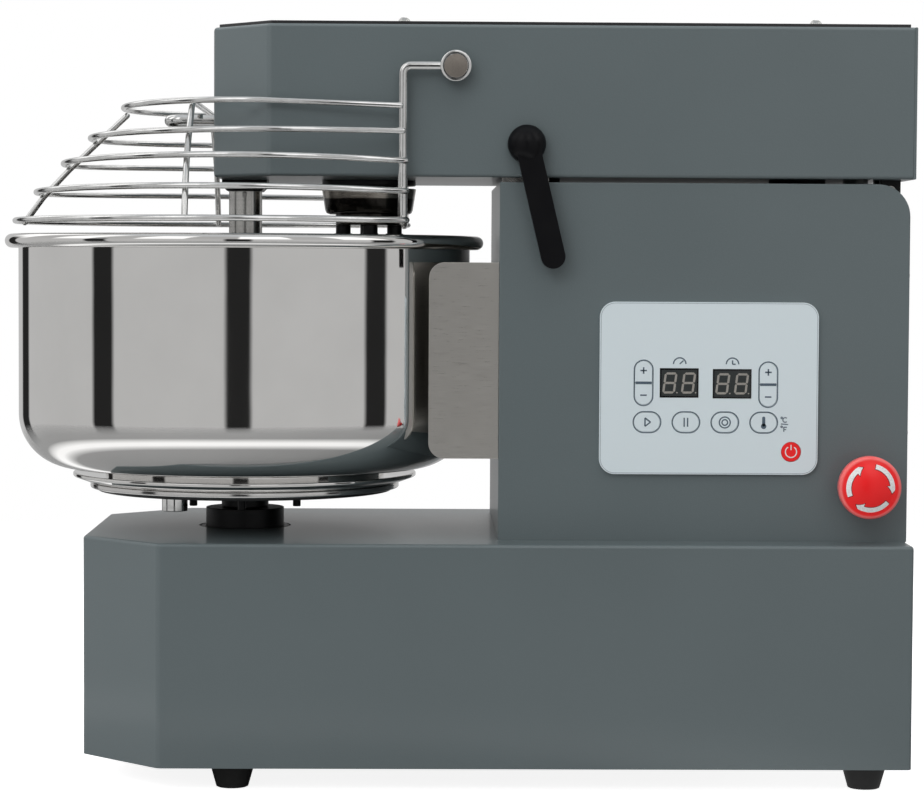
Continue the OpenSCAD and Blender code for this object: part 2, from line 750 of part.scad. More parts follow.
estop_bore_d = 12;
module estop_body() {
    color([0.1, 0.1, 0.1]) translate([estop_x, -column_side, estop_z]) upright() difference() {
        union() {
            cylinder(d = 29, h = 3);
            translate([0, 0, -sheet_t - 1]) cylinder(d = estop_barrel_d, h = sheet_t + 2);
            translate([0, 0, -sheet_t - 6]) cylinder(d = 30, h = 6, $fn = 6);
            translate([-13, -13, -sheet_t - 44]) cube([26, 26, 39]);
        }
        translate([0, 0, -40]) cylinder(d = estop_bore_d + 2 * run_gap, h = 50);
    }
}
stem_out = 25;              // length of the stem outside the column
module estop_stem() {
    color([0.55, 0.55, 0.55]) translate([estop_x, -column_side, estop_z]) upright()
        translate([0, 0, -30]) cylinder(d = estop_bore_d, h = 30 + stem_out);
}
module estop_knob() {
    reach = 30;
    cap_t = 14;
    neck_d = 24;
    dome_h = 6;
    dome_r = (estop_d * estop_d / 4 + dome_h * dome_h) / (2 * dome_h);
    color([0.8, 0.06, 0.08]) translate([estop_x, -column_side, estop_z]) upright()
        difference() {
            union() {
                translate([0, 0, reach - dome_h]) intersection() {
                    translate([0, 0, dome_h - dome_r]) sphere(dome_r);
                    cylinder(d = estop_d, h = dome_h + 1);
                }
                translate([0, 0, reach - cap_t + 3]) cylinder(d = estop_d, h = cap_t - 3 - dome_h);
                translate([0, 0, reach - cap_t]) cylinder(d1 = estop_d - 6, d2 = estop_d, h = 3);
                translate([0, 0, 3 + estop_travel + 1.5])
                    cylinder(d = neck_d, h = reach - cap_t - 3 - estop_travel);
            }
            translate([0, 0, 1]) cylinder(d = estop_bore_d + 2 * run_gap, h = stem_out - 1 + 0.2);
        }
}

// ---------- bowl and its drive ----------

bearing_d = 47;
bearing_w = 14;
housing_d = 60;
hub_collar_d = 52.6;
hub_collar_h = 12.5;
table_drop = 14;
bowl_table_z0 = bowl_z0 - table_drop;
neck_d = 31.7;
neck_z0 = base_z1 + hub_collar_h + set_gap;
pulley_z = foot_h + 44.5;
bowl_pulley_r = 75;
bowl_belt_l = 227.6;        // distance between the bowl's axis and its motor's
bowl_motor_x = bowl_x + bowl_belt_l;
motor_pulley_r = 18;
motor_shaft_d = 14;

bowl_housing_depth = 62;
housing_flange_h = 6;
housing_flange_d = 94;
bearing_seat = 0.02;        // radial room of a bearing in its seat
module bowl_bearing_housing() {
    depth = bowl_housing_depth;
    color([0.06, 0.06, 0.06]) translate([bowl_x, 0, 0]) difference() {
        union() {
            translate([0, 0, base_z1 - depth]) cylinder(d = housing_d, h = depth);
            translate([0, 0, base_ceiling - housing_flange_h])
                cylinder(d = housing_flange_d, h = housing_flange_h);
            translate([0, 0, base_z1 - tiny]) cylinder(d = hub_collar_d, h = hub_collar_h);
        }
        translate([0, 0, base_z1 - depth - 1])
            cylinder(d = shaft_d + 6, h = depth + hub_collar_h + 2);
        for (z = [base_z1 - depth - 1, base_z1 - bearing_w - 1]) translate([0, 0, z])
            cylinder(d = bearing_d + 2 * bearing_seat, h = bearing_w + 1);
    }
}

module bowl_bearings() {
    color("silver") translate([bowl_x, 0, 0])
        for (z = [base_z1 - bowl_housing_depth, base_z1 - bearing_w - 1]) translate([0, 0, z])
            ring(bearing_d, shaft_d + 2 * run_gap, bearing_w);
}

module bowl_shaft() {
    color("silver") translate([bowl_x, 0, 0]) {
        translate([0, 0, pulley_z - 6]) cylinder(d = shaft_d, h = neck_z0 - pulley_z + 7);
        translate([0, 0, neck_z0]) cylinder(d = neck_d, h = bowl_table_z0 - neck_z0);
    }
}

module bowl_pulley() {
    color([0.6, 0.6, 0.62]) translate([bowl_x, 0, pulley_z])
        pulley(bowl_pulley_r, belt_w + 2 * set_gap, shaft_d + 0.02, true);
}

module bowl_belt() {
    color([0.05, 0.05, 0.05]) translate([bowl_x, 0, pulley_z + set_gap])
        belt(bowl_pulley_r, motor_pulley_r, bowl_motor_x - bowl_x, belt_w);
}

// Geared motor: flange, ribbed can, gearbox, and a nose that carries the shaft
module gear_motor(can_h, nose_h) {
    gear_h = 20;
    gear_d = 96;
    can_d = 86;
    flange_d = 104;
    flange_h = 6;
    difference() {
        union() {
            cylinder(d = flange_d, h = flange_h);
            translate([0, 0, flange_h - tiny])
                cylinder(d = can_d, h = can_h - gear_h - flange_h + tiny);
            translate([0, 0, can_h - gear_h - tiny]) cylinder(d = gear_d, h = gear_h);
            translate([0, 0, can_h - tiny]) cylinder(d = 34, h = nose_h);
            for (a = [0:20:340]) rotate(a) translate([can_d / 2 - 2, -1, flange_h - 1])
                cube([6, 2, can_h - gear_h - flange_h + 2]);
        }
        translate([0, 0, can_h - gear_h]) cylinder(d = motor_shaft_d + 2 * run_gap, h = 60);
    }
}

motor_can_h = 66;
motor_nose_h = 8;
module bowl_motor() {
    color([0.35, 0.36, 0.38]) translate([bowl_motor_x, 0, base_ceiling]) rotate([180, 0, 0])
        gear_motor(motor_can_h, motor_nose_h);
}
module bowl_motor_pulley() {
    top = base_ceiling - motor_can_h + 12;
    color([0.6, 0.6, 0.62]) translate([bowl_motor_x, 0, 0]) {
        translate([0, 0, pulley_z]) pulley(motor_pulley_r, belt_w + 2 * set_gap, motor_shaft_d - 2, false);
        translate([0, 0, pulley_z - 4]) cylinder(d = motor_shaft_d, h = top - pulley_z + 4);
    }
}

table_z1 = bowl_table_z0 + table_t;
// Turned disc with a stiffening ring under its edge
module bowl_turntable() {
    ring_t = 2;
    color([0.3, 0.3, 0.3]) translate([bowl_x, 0, bowl_table_z0]) difference() {
        union() {
            cylinder(r = table_r, h = table_t);
            translate([0, 0, -ring_t])
                ring(2 * (table_r - 5), 2 * (table_r - 17), ring_t + tiny);
        }
        for (a = [0:90:270]) rotate(a) translate([drive_pin_r, 0, -1])
            cylinder(d = drive_pin_d + 0.04, h = table_t + 2);
        translate([release_at.x, release_at.y, -1])
            cylinder(d = release_pin_d + 2 * run_gap, h = table_t + 2);
    }
}

drive_pin_r = 35;
drive_pin_d = 5.3;
drive_pin_drop = 13.7;
release_at = [-46, -18];
release_pin_d = 8;
release_drop = 15.6;
module bowl_drive_pins() {
    color([0.1, 0.1, 0.1]) translate([bowl_x, 0, 0]) for (a = [0:90:270]) rotate(a)
        translate([drive_pin_r, 0, bowl_table_z0 - drive_pin_drop])
            cylinder(d = drive_pin_d, h = drive_pin_drop + table_t + 4);
}
module bowl_release_knob() {
    knob_z0 = bowl_table_z0 - release_drop;
    color("silver") translate([bowl_x + release_at.x, release_at.y, knob_z0]) {
        cylinder(d = release_d, h = 9);
        translate([0, 0, 8]) cylinder(d = release_pin_d, h = release_drop - 8 + table_t + 3.5);
    }
}

// Pressed steel bowl with a rolled rim and a stepped foot welded under it
module bowl() {
    inner_r = bowl_r - bowl_t;
    bead_r = bead_d / 2;
    bead_at = [bowl_r + bead_r - bead_over, bowl_z1 - bead_r];
    color([0.8, 0.8, 0.78]) translate([bowl_x, 0, 0]) {
        difference() {
            rotate_extrude($fn = 128) union() {
                difference() {
                    bowl_section(bowl_r, bowl_corner, bowl_z0);
                    bowl_section(inner_r, bowl_corner - bowl_t, bowl_z0 + bowl_t);
                }
                translate(bead_at) circle(bead_r);
                // stepped foot
                foot_section();
            }
            for (a = [0:90:270]) rotate(a) translate([drive_pin_r, 0, table_z1 - 2])
                cylinder(d = drive_pin_d + 0.6, h = 6);
            translate([release_at.x, release_at.y, table_z1 - 2])
                cylinder(d = release_pin_d + 0.8, h = 6);
        }
    }
}
module bowl_section(r, corner, z0) {
    wall_z1 = bowl_z1 - bead_d / 2;
    translate([0, z0]) square([r - corner, wall_z1 - z0]);
    translate([0, z0 + corner]) square([r, wall_z1 - z0 - corner]);
    translate([r - corner, z0 + corner]) intersection() {
        circle(corner);
        translate([0, -corner]) square([corner, corner]);
    }
}
// Foot plate, its upright edge and the ring that joins it to the bowl's floor
module foot_section() {
    plate_t = 3;
    rim_r = table_r + 11.5;
    rim_t = 2.5;
    rim_up = 4.3;
    ring_r = table_r - 10;
    ring_t = 5;
    polygon([
        [0, table_z1], [table_r - 0.5, table_z1],
        [rim_r, table_z1 + rim_up], [rim_r, table_z1 + rim_up + rim_t],
        [rim_r - 3, table_z1 + rim_up + rim_t], [table_r - 3, table_z1 + plate_t],
        [0, table_z1 + plate_t]
    ]);
    translate([ring_r - ring_t, table_z1 + plate_t - tiny])
        square([ring_t, bowl_z0 - table_z1 - plate_t + 2 * tiny]);
}

// ---------- head ----------

breaker_block_w = 30;
neck_hole_d = 53;
module head_shell() {
    flange_w = 14;
    color([0.36, 0.4, 0.4]) difference() {
        translate([head_x1, 0, head_z0]) linear_extrude(head_h)
            housing_outline(head_l, head_w, head_corner);
        // inside, open to the rear
        translate([head_x1, 0, head_floor]) linear_extrude(head_h - 2 * sheet_t)
            translate([1, 0]) housing_outline(head_l - sheet_t + 1, head_w - 2 * sheet_t,
                inner_corner(head_corner, sheet_t));
        // top opening inside its flange
        translate([head_x1, 0, head_z1 - sheet_t - 1]) linear_extrude(sheet_t + 2)
            translate([1, 0]) housing_outline(head_l - flange_w + 1, head_w - 2 * flange_w,
                inner_corner(head_corner, flange_w));
        // spiral housing and breaker bar
        translate([spiral_x, 0, head_z0 - 1]) cylinder(d = neck_hole_d, h = sheet_t + 2);
        translate([bowl_x, 0, head_z0 - 1]) cylinder(d = bar_d + 0.4, h = sheet_t + 2);
        // hinge knuckles
        for (side = [-1, 1]) translate([hinge_x - knuckle_r - 1, side * hinge_y - hinge_w / 2,
                head_z0 - 1])
            cube([2 * knuckle_r + 2, hinge_w, sheet_t + 2]);
        // lock's lug and spindle
        translate([latch_x - lug_l / 2 - 5, lug_y - lug_t / 2 - 1, head_z0 - 1])
            cube([lug_l + 8, lug_t + 2, sheet_t + 2]);
        translate([latch_x, -head_side + sheet_t + 1, latch_z]) upright()
            cylinder(d = spindle_d + 2 * run_gap, h = sheet_t + 2);
        // guard pivots
        for (side = [-1, 1]) translate([guard_x, side * head_side + sheet_t + 1, guard_z])
            upright() cylinder(d = pivot_d + 0.04, h = 2 * sheet_t + 2);
        for (p = lid_screw_at, side = [-1, 1])
            translate([p, side * lid_screw_y, head_z1 - sheet_t - 1])
                cylinder(d = lid_screw_d + 0.2, h = sheet_t + 2);
        // handle screws
        for (side = [-1, 1]) translate([head_x0 - 1, side * handle_half, handle_z])
            rotate([0, 90, 0]) cylinder(d = 5.2, h = sheet_t + 2);
    }
}

lid_screw_at = [head_x0 + 123.7, head_x0 + 387.3];
lid_screw_y = head_side - 8;
lid_screw_d = 4;
module head_lid() {
    color([0.04, 0.04, 0.05]) difference() {
        translate([head_x1 - 2, 0, head_z1]) linear_extrude(lid_t)
            housing_outline(head_l - lid_inset - 2, head_w - 2 * lid_inset,
                inner_corner(head_corner, lid_inset));
        for (p = lid_screw_at, side = [-1, 1]) translate([p, side * lid_screw_y, head_z1 - 1])
            cylinder(d = lid_screw_d + 0.2, h = lid_t + 2);
    }
}
module head_lid_screws() {
    color("silver") for (p = lid_screw_at, side = [-1, 1])
        translate([p, side * lid_screw_y, head_z1 + lid_t])
            dome_screw(8, 3, lid_screw_d, lid_t + sheet_t + 4);
}
module head_rear_plate() {
    color([0.36, 0.4, 0.4]) translate([head_x1, -head_side, head_z0])
        cube([head_plate_t, head_w, head_h]);
}

handle_d = 8;
handle_half = 30;
handle_reach = 36;
handle_z = head_z0 + 38.5;
handle_bend = 9;
module front_handle() {
    bar_x = head_x0 - handle_reach + handle_d / 2;
    color("silver") {
        for (side = [-1, 1]) {
            translate([bar_x + handle_bend, side * handle_half, handle_z]) rotate([0, 90, 0])
                cylinder(d = handle_d, h = head_x0 - bar_x - handle_bend);
            translate([bar_x + handle_bend, side * (handle_half - handle_bend), handle_z])
                rotate(side > 0 ? 90 : 180) rotate_extrude(angle = 90)
                    translate([handle_bend, 0]) circle(d = handle_d);
            translate([head_x0 - tiny, side * handle_half, handle_z]) rotate([0, 90, 0])
                cylinder(d = 5, h = 8);
        }
        translate([bar_x, 0, handle_z]) along_y(bend_end, 2 * (handle_half - handle_bend))
            cylinder(d = handle_d, h = 2 * (handle_half - handle_bend));
    }
}
bend_end = -(handle_half - handle_bend);

// Block under the head that holds the breaker bar
module breaker_mount() {
    block_h = 7.5;
    chamfer = 3.5;
    half = breaker_block_w / 2;
    color([0.05, 0.05, 0.05]) translate([bowl_x, 0, head_z0]) difference() {
        translate([0, half, 0]) upright() linear_extrude(breaker_block_w) polygon([
            [-half, 0], [-half, chamfer - block_h], [chamfer - half, -block_h],
            [half - chamfer, -block_h], [half, chamfer - block_h], [half, 0]
        ]);
        translate([0, 0, -20]) cylinder(d = bar_d + 0.04, h = 40);
    }
}

bar_z0 = bowl_z0 + bowl_t + bar_gap;
// Bar with a pointed tip, a clamped collar inside the head and a cross pin under the block
module breaker_bar() {
    tip_h = 14;
    bar_top = head_floor + 16;
    pin_z = head_z0 - 9.7;
    pin_d = 3.5;
    color([0.72, 0.72, 0.7]) translate([bowl_x, 0, 0]) {
        translate([0, 0, bar_z0 + tip_h]) cylinder(d = bar_d, h = bar_top - bar_z0 - tip_h);
        translate([0, 0, bar_z0]) cylinder(d1 = bar_d - 9, d2 = bar_d, h = tip_h);
        translate([0, 0, head_floor]) cylinder(d = bar_d + 6, h = 8);
        translate([0, 0, pin_z]) along_y(-bar_d / 2 - 2, bar_d + 4)
            cylinder(d = pin_d, h = bar_d + 4);
    }
}

// Neck under the head and bearing tube inside it
spiral_tube_h = 52;
spiral_bearing_z = [head_floor + 1, head_floor + spiral_tube_h - bearing_w];
neck_ring_d = 63;
neck_ring_h = 3.3;
hub_z1 = head_z0 - 5;
hub_z0 = head_z0 - 22.5;
module spiral_housing() {
    color([0.07, 0.07, 0.07]) translate([spiral_x, 0, 0]) difference() {
        union() {
            translate([0, 0, hub_z1]) cylinder(d = neck_hole_d - 2, h = head_floor - hub_z1 + tiny);
            translate([0, 0, head_z0 - neck_ring_h]) cylinder(d = neck_ring_d, h = neck_ring_h);
            translate([0, 0, head_floor]) cylinder(d = housing_flange_d, h = housing_flange_h);
            translate([0, 0, head_floor]) cylinder(d = housing_d, h = spiral_tube_h);
        }
        translate([0, 0, hub_z1 - 1])
            cylinder(d = shaft_d + 6, h = head_floor + spiral_tube_h - hub_z1 + 2);
        translate([0, 0, spiral_bearing_z[0]])
            cylinder(d = bearing_d + 2 * bearing_seat, h = bearing_w);
        translate([0, 0, spiral_bearing_z[1]])
            cylinder(d = bearing_d + 2 * bearing_seat, h = bearing_w + 1);
    }
}
module spiral_bearings() {
    color("silver") translate([spiral_x, 0, 0])
        for (z = spiral_bearing_z) translate([0, 0, z])
            ring(bearing_d, shaft_d + 2 * run_gap, bearing_w);
}

spiral_pulley_z = head_floor + 66;
spiral_pulley_r = 68;
spiral_belt_l = 184.4;      // distance between the spiral's axis and its motor's
spiral_motor_x = spiral_x + spiral_belt_l;
module spiral_pulley() {
    color([0.6, 0.6, 0.62]) translate([spiral_x, 0, spiral_pulley_z])
        pulley(spiral_pulley_r, belt_w + 2 * set_gap, shaft_d + 0.02, true);
}
module spiral_belt() {
    color([0.05, 0.05, 0.05]) translate([spiral_x, 0, spiral_pulley_z + set_gap])
        belt(spiral_pulley_r, motor_pulley_r, spiral_motor_x - spiral_x, belt_w);
}
spiral_can_h = 50;
module spiral_motor() {
    color([0.35, 0.36, 0.38]) translate([spiral_motor_x, 0, head_floor])
        gear_motor(spiral_can_h, motor_nose_h);
}
module spiral_motor_pulley() {
    shaft_z0 = head_floor + spiral_can_h - 14;
    color([0.6, 0.6, 0.62]) translate([spiral_motor_x, 0, 0]) {
        translate([0, 0, spiral_pulley_z])
            pulley(motor_pulley_r, belt_w + 2 * set_gap, motor_shaft_d - 2, false);
        translate([0, 0, shaft_z0])
            cylinder(d = motor_shaft_d, h = spiral_pulley_z + belt_w + 4 - shaft_z0);
    }
}

// Shaft with the cup-shaped hub at its lower end
flange_h = 7.3;
flange_d = 45;
flange_z0 = hub_z0 - flange_h;
hub_h = hub_z1 - set_gap - hub_z0;
hub_draft = 2.2;
hub_round = 3;
bolt_l = 9.5;
hook_disc_z1 = flange_z0 - bolt_l;
hook_disc_h = 8;
hook_disc_d = 50;
bolt_r = 17.3;
module hub_cup(r, foot_r) rotate_extrude() polygon([
    [0, 0], [foot_r - hub_round, 0], [foot_r - 0.3 * hub_round, 0.3 * hub_round],
    [foot_r, hub_round], [r, hub_h], [0, hub_h]
]);
module spiral_shaft() {
    color([0.7, 0.69, 0.66]) translate([spiral_x, 0, 0]) {
        translate([0, 0, hub_z1 - 5])
            cylinder(d = shaft_d, h = spiral_pulley_z + belt_w + 6 - hub_z1 + 5);
        translate([0, 0, hub_z0]) hub_cup(hub_d / 2, hub_d / 2 - hub_draft);
        translate([0, 0, flange_z0]) cylinder(d = flange_d, h = flange_h + tiny);
    }
}
// Bolts whose collars space the disc from the hub's flange
module spiral_bolts() {
    color("silver") translate([spiral_x, 0, 0]) for (a = [4:90:274]) rotate(a)
        translate([bolt_r, 0, hook_disc_z1]) {
            cylinder(d = 10, h = bolt_l);
            cylinder(d = 12, h = 4, $fn = 6);
        }
}

// The spiral: a bent rod that leaves the disc, swings out and winds down to the bowl's floor
hook_rings = 56;
hook_sides = 14;
hook_z1 = hook_disc_z1 - hook_disc_h;
hook_z0 = bowl_z0 + bowl_t + spiral_gap + spiral_rod_r;
function ease(t) = t * t * (3 - 2 * t);
function clamp01(t) = min(1, max(0, t));
function hook_radius(t) = spiral_r * ease(clamp01((t + 0.03) / 0.25))
    - spiral_r * 0.4 * ease(clamp01((t - 0.7) / 0.3));
function hook_height(t) = hook_z1 - (hook_z1 - hook_z0) * ease(clamp01(t / 0.92));
function hook_angle(t) = 180 - 360 * spiral_turns * clamp01((t - 0.06) / 0.94);
function hook_point(t) = [
    hook_radius(t) * cos(hook_angle(t)), hook_radius(t) * sin(hook_angle(t)), hook_height(t)
];
function hook_rod_r(t) = spiral_rod_r
    * (t > 0.97 ? sqrt(max(0.05, 1 - pow((t - 0.97) / 0.03, 2))) : 1);
function hook_dir(t) = let (d = hook_point(min(1, t + 0.005)) - hook_point(max(0, t - 0.005)))
    d / norm(d);
function hook_ring(t) = let (
        d = hook_dir(t),
        side_raw = cross(d, [0, 0, 1]),
        side = side_raw / norm(side_raw),
        up = cross(side, d),
        p = hook_point(t),
        r = hook_rod_r(t)
    ) [for (k = [0:hook_sides - 1]) let (a = 360 * k / hook_sides)
        p + side * r * cos(a) + up * r * sin(a)];
module spiral_hook() {
    points = [for (i = [0:hook_rings]) each hook_ring(i / hook_rings)];
    n = hook_sides;
    sides = [for (i = [0:hook_rings - 1], k = [0:n - 1])
        [i * n + k, i * n + (k + 1) % n, (i + 1) * n + (k + 1) % n, (i + 1) * n + k]];
    ends = [[for (k = [n - 1:-1:0]) k], [for (k = [0:n - 1]) hook_rings * n + k]];
    color([0.75, 0.75, 0.73]) translate([spiral_x, 0, 0]) {
        translate([0, 0, hook_z1]) cylinder(d = hook_disc_d, h = hook_disc_h);
        polyhedron(points = points, faces = concat(sides, ends), convexity = 6);
    }
}

// ---------- wire guard ----------

pivot_d = 8;
boss_t = 8;
frame_bend = 5;
weld_gap = 0.05;
hoop_over = 2;
hoop_clear = (frame_wire_d + wire_d) / 2 + weld_gap;
rib_x = bowl_x - 28.9;
rib_off = wire_d + 0.35;
function hoop_x(i) = bowl_x - hoop_front[i];
function hoop_z(i) = bowl_z1 + hoop_up[i];
// Every hoop passes outside the side wires. The upper two have a tighter front arc and run
// on in straight legs, and the others are one arc.
function hoop_r(i) = let (reach = guard_leg_x - hoop_x(i))
    i == 0 ? 108 : i == 1 ? 130
    : (reach * reach + guard_y * guard_y - hoop_clear * hoop_clear) / (2 * (reach - hoop_clear));
function hoop_c(i) = hoop_x(i) + hoop_r(i);
function leg_length(i) = let (
        d = norm([guard_leg_x - hoop_c(i), guard_y]),
        r = hoop_r(i) - hoop_clear
    ) d > r + 0.01 ? sqrt(d * d - r * r) : 0;
function hoop_end_angle(i) = atan2(guard_y, guard_leg_x - hoop_c(i))
    + atan2(leg_length(i), hoop_r(i) - hoop_clear);
function hoop_half_width(i, x) = sqrt(pow(hoop_r(i), 2) - pow(x - hoop_c(i), 2));

module hoop(i) {
    leg = leg_length(i);
    a = hoop_end_angle(i) - (leg > 0 ? 0 : asin(hoop_over / hoop_r(i)));
    translate([hoop_c(i), 0, hoop_z(i)]) {
        rotate(a) rotate_extrude(angle = 360 - 2 * a)
            translate([hoop_r(i), 0]) circle(d = wire_d);
        if (leg > 0) for (side = [0, 1]) mirror([0, side, 0]) rotate(a)
            translate([hoop_r(i), 0, 0]) rotate([90, 0, 0])
                cylinder(d = wire_d, h = leg + hoop_over);
    }
}

// The wire's corners on one side of the mid rib, from the lowest hoop up, each inside its hoop
mid_corners = [for (i = [4:-1:0]) [hoop_half_width(i, rib_x), hoop_z(i)]];
function corner_dir(i) = let (
        before = i > 0 ? mid_corners[i] - mid_corners[i - 1] : mid_corners[1] - mid_corners[0],
        after = mid_corners[i + 1] - mid_corners[i],
        v = before / norm(before) + after / norm(after)
    ) v / norm(v);
mid_rib_side = [for (i = [0:3]) let (d = corner_dir(i)) mid_corners[i] + rib_off * [-d.y, d.x]];
// Level with the top hoop, and far enough in for the sloping side to pass under it
mid_rise = mid_corners[4] - mid_corners[3];
mid_top = mid_corners[4] - [rib_off * norm(mid_rise) / mid_rise.y, 0];
mid_slope = (mid_top - mid_rib_side[3]) / norm(mid_top - mid_rib_side[3]);
top_bend = 9;
mid_rib_half = concat(mid_rib_side,
    bend(mid_top - top_bend * mid_slope, mid_top, mid_top + [-top_bend, 0], 5));
mid_rib = concat(
    [for (p = mid_rib_half) [rib_x, p.x, p.y]],
    [for (i = [len(mid_rib_half) - 1:-1:0]) [rib_x, -mid_rib_half[i].x, mid_rib_half[i].y]]);
front_rib = [for (i = [0:4]) let (
        j = max(i - 1, 0),
        k = min(i + 1, 4),
        v = [hoop_x(k) - hoop_x(j), hoop_z(k) - hoop_z(j)],
        d = v / norm(v)
    ) [hoop_x(i) - d.y * rib_off, 0, hoop_z(i) + d.x * rib_off]];

// Side wire from its boss forwards, round a bend and down
module guard_side() {
    leg_top = guard_z - frame_bend;
    translate([guard_x, boss_t / 2, guard_z]) upright() cylinder(d = boss_d, h = boss_t);
    translate([guard_leg_x + frame_bend, 0, guard_z]) rotate([0, 90, 0])
        cylinder(d = frame_wire_d, h = guard_leg_dx - frame_bend);
    translate([guard_leg_x + frame_bend, 0, guard_z - frame_bend]) rotate([90, 0, 0]) rotate(90)
        rotate_extrude(angle = 90) translate([frame_bend, 0]) circle(d = frame_wire_d);
    translate([guard_leg_x, 0, hoop_z(4) - 3])
        cylinder(d = frame_wire_d, h = leg_top - hoop_z(4) + 3);
}

module wire_guard() {
    bore_depth = boss_t - 2;
    color([0.8, 0.8, 0.78]) {
        for (i = [0:4]) hoop(i);
        difference() {
            for (side = [-1, 1]) translate([0, side * guard_y, 0]) guard_side();
            for (side = [-1, 1])
                translate([guard_x, side * (guard_y - boss_t / 2 - 1), guard_z])
                    rotate([side > 0 ? -90 : 90, 0, 0])
                        cylinder(d = pivot_d + 2 * run_gap, h = bore_depth + 1);
        }
    }
}

module guard_ribs() {
    color([0.8, 0.8, 0.78]) {
        swept_wire(front_rib, wire_d, 12, [0, -1, 0]);
        swept_wire(mid_rib, wire_d, 12, [1, 0, 0]);
    }
}

module guard_pivot_pins() {
    pin_in = 10;
    pin_out = guard_y - boss_t / 2 + boss_t - 2 - 0.3 - head_side;
    washer_t = guard_y - boss_t / 2 - head_side - 0.3;
    color([0.6, 0.6, 0.6]) for (side = [-1, 1]) translate([guard_x, side * head_side, guard_z])
        rotate([side > 0 ? -90 : 90, 0, 0]) {
            translate([0, 0, -pin_in]) cylinder(d = pivot_d, h = pin_in + pin_out);
            cylinder(d = 14, h = washer_t);
            translate([0, 0, -sheet_t - 5]) cylinder(d = 14, h = 5, $fn = 6);
        }
}

base_shell();
base_bottom_plate();
feet();
column_shell();
rear_cover();
rear_cover_screws();
splash_shield();
control_panel();
display_modules();
controller_board();
speed_drive();
power_inlet();
estop_body();
estop_stem();
estop_knob();
hinge_brackets();
hinge_pins();
latch_lug();
head_rest_pads();
bowl_bearing_housing();
bowl_bearings();
bowl_motor();
bowl_belt();
bowl();
bowl_turntable();
bowl_drive_pins();
bowl_shaft();
bowl_pulley();
bowl_release_knob();
bowl_motor_pulley();
head_shell();
head_lid();
head_lid_screws();
head_rear_plate();
front_handle();
head_hinge_leaves();
breaker_mount();
breaker_bar();
spiral_housing();
spiral_bearings();
spiral_motor();
spiral_belt();
guard_pivot_pins();
spiral_hook();
spiral_shaft();
spiral_bolts();
spiral_pulley();
spiral_motor_pulley();
wire_guard();
guard_ribs();
lock_lever();
speed_up_key();
speed_down_key();
timer_up_key();
timer_down_key();
start_key();
pause_key();
mode_key();
heat_key();
power_key();
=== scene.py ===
"""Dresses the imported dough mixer: its housings, bowl, wires, spiral, panel and controls."""

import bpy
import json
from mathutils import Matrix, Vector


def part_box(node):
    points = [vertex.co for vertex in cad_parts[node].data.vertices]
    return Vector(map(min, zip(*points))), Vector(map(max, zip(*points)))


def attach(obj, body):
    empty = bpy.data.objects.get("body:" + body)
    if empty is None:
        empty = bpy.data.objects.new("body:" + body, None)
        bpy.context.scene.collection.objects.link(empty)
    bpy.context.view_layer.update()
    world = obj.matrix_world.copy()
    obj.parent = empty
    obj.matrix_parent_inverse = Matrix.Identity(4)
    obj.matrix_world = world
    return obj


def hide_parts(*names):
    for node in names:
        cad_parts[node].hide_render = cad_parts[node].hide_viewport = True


bl_info = {
    "name": "Dough mixer looks",
    "version": (1, 0, 0),
    "blender": (4, 5, 0),
    "location": "3D Viewport > Sidebar > Mixer",
    "description": "Builds the visible pieces of a table-top spiral dough mixer around its CAD frame",
    "category": "Object",
}

import json
from math import acos, asin, atan2, cos, degrees, hypot, pi, radians, sin, sqrt

import bmesh
import bpy
from bpy.props import FloatProperty, FloatVectorProperty, IntProperty, PointerProperty
from mathutils import Matrix, Vector

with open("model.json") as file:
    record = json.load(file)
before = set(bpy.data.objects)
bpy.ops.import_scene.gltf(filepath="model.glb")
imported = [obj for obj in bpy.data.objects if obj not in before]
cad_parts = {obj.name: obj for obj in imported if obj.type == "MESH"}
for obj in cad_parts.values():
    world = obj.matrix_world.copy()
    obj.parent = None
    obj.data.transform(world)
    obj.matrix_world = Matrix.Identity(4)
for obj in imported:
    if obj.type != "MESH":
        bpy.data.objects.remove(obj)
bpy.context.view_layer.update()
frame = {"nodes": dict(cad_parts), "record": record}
MM = 0.001


def mid(node, axis):
    """Middle of a CAD node's box along one axis."""
    low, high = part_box(node)
    return (low[axis] + high[axis]) / 2


def low(node, axis):
    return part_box(node)[0][axis]


def high(node, axis):
    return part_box(node)[1][axis]


BOWL_X = mid("bowl", 0)
BOWL_Z0 = low("bowl", 2)
BOWL_Z1 = high("bowl", 2)
BOWL_FOOT_H = 10.5 * MM
BOWL_FLOOR = BOWL_Z0 + BOWL_FOOT_H
BOWL_SHEET = 1.5 * MM
SPIRAL_X = mid("spiral_bearings", 0)
PANEL_X = mid("control_panel", 0)
PANEL_Z = mid("control_panel", 2)
PANEL_Y = low("control_panel", 1)
STOP_X = mid("estop_body", 0)
STOP_Z = mid("estop_body", 2)
STOP_R = 20 * MM
# The guard's side wires lie in the middle of its bosses, and the pins end a little outside it
PIN_PAST_MIDDLE = 1.7 * MM
GUARD_Y = high("guard_pivot_pins", 1) - PIN_PAST_MIDDLE


# ---------- sizes and colours that a user would change ----------

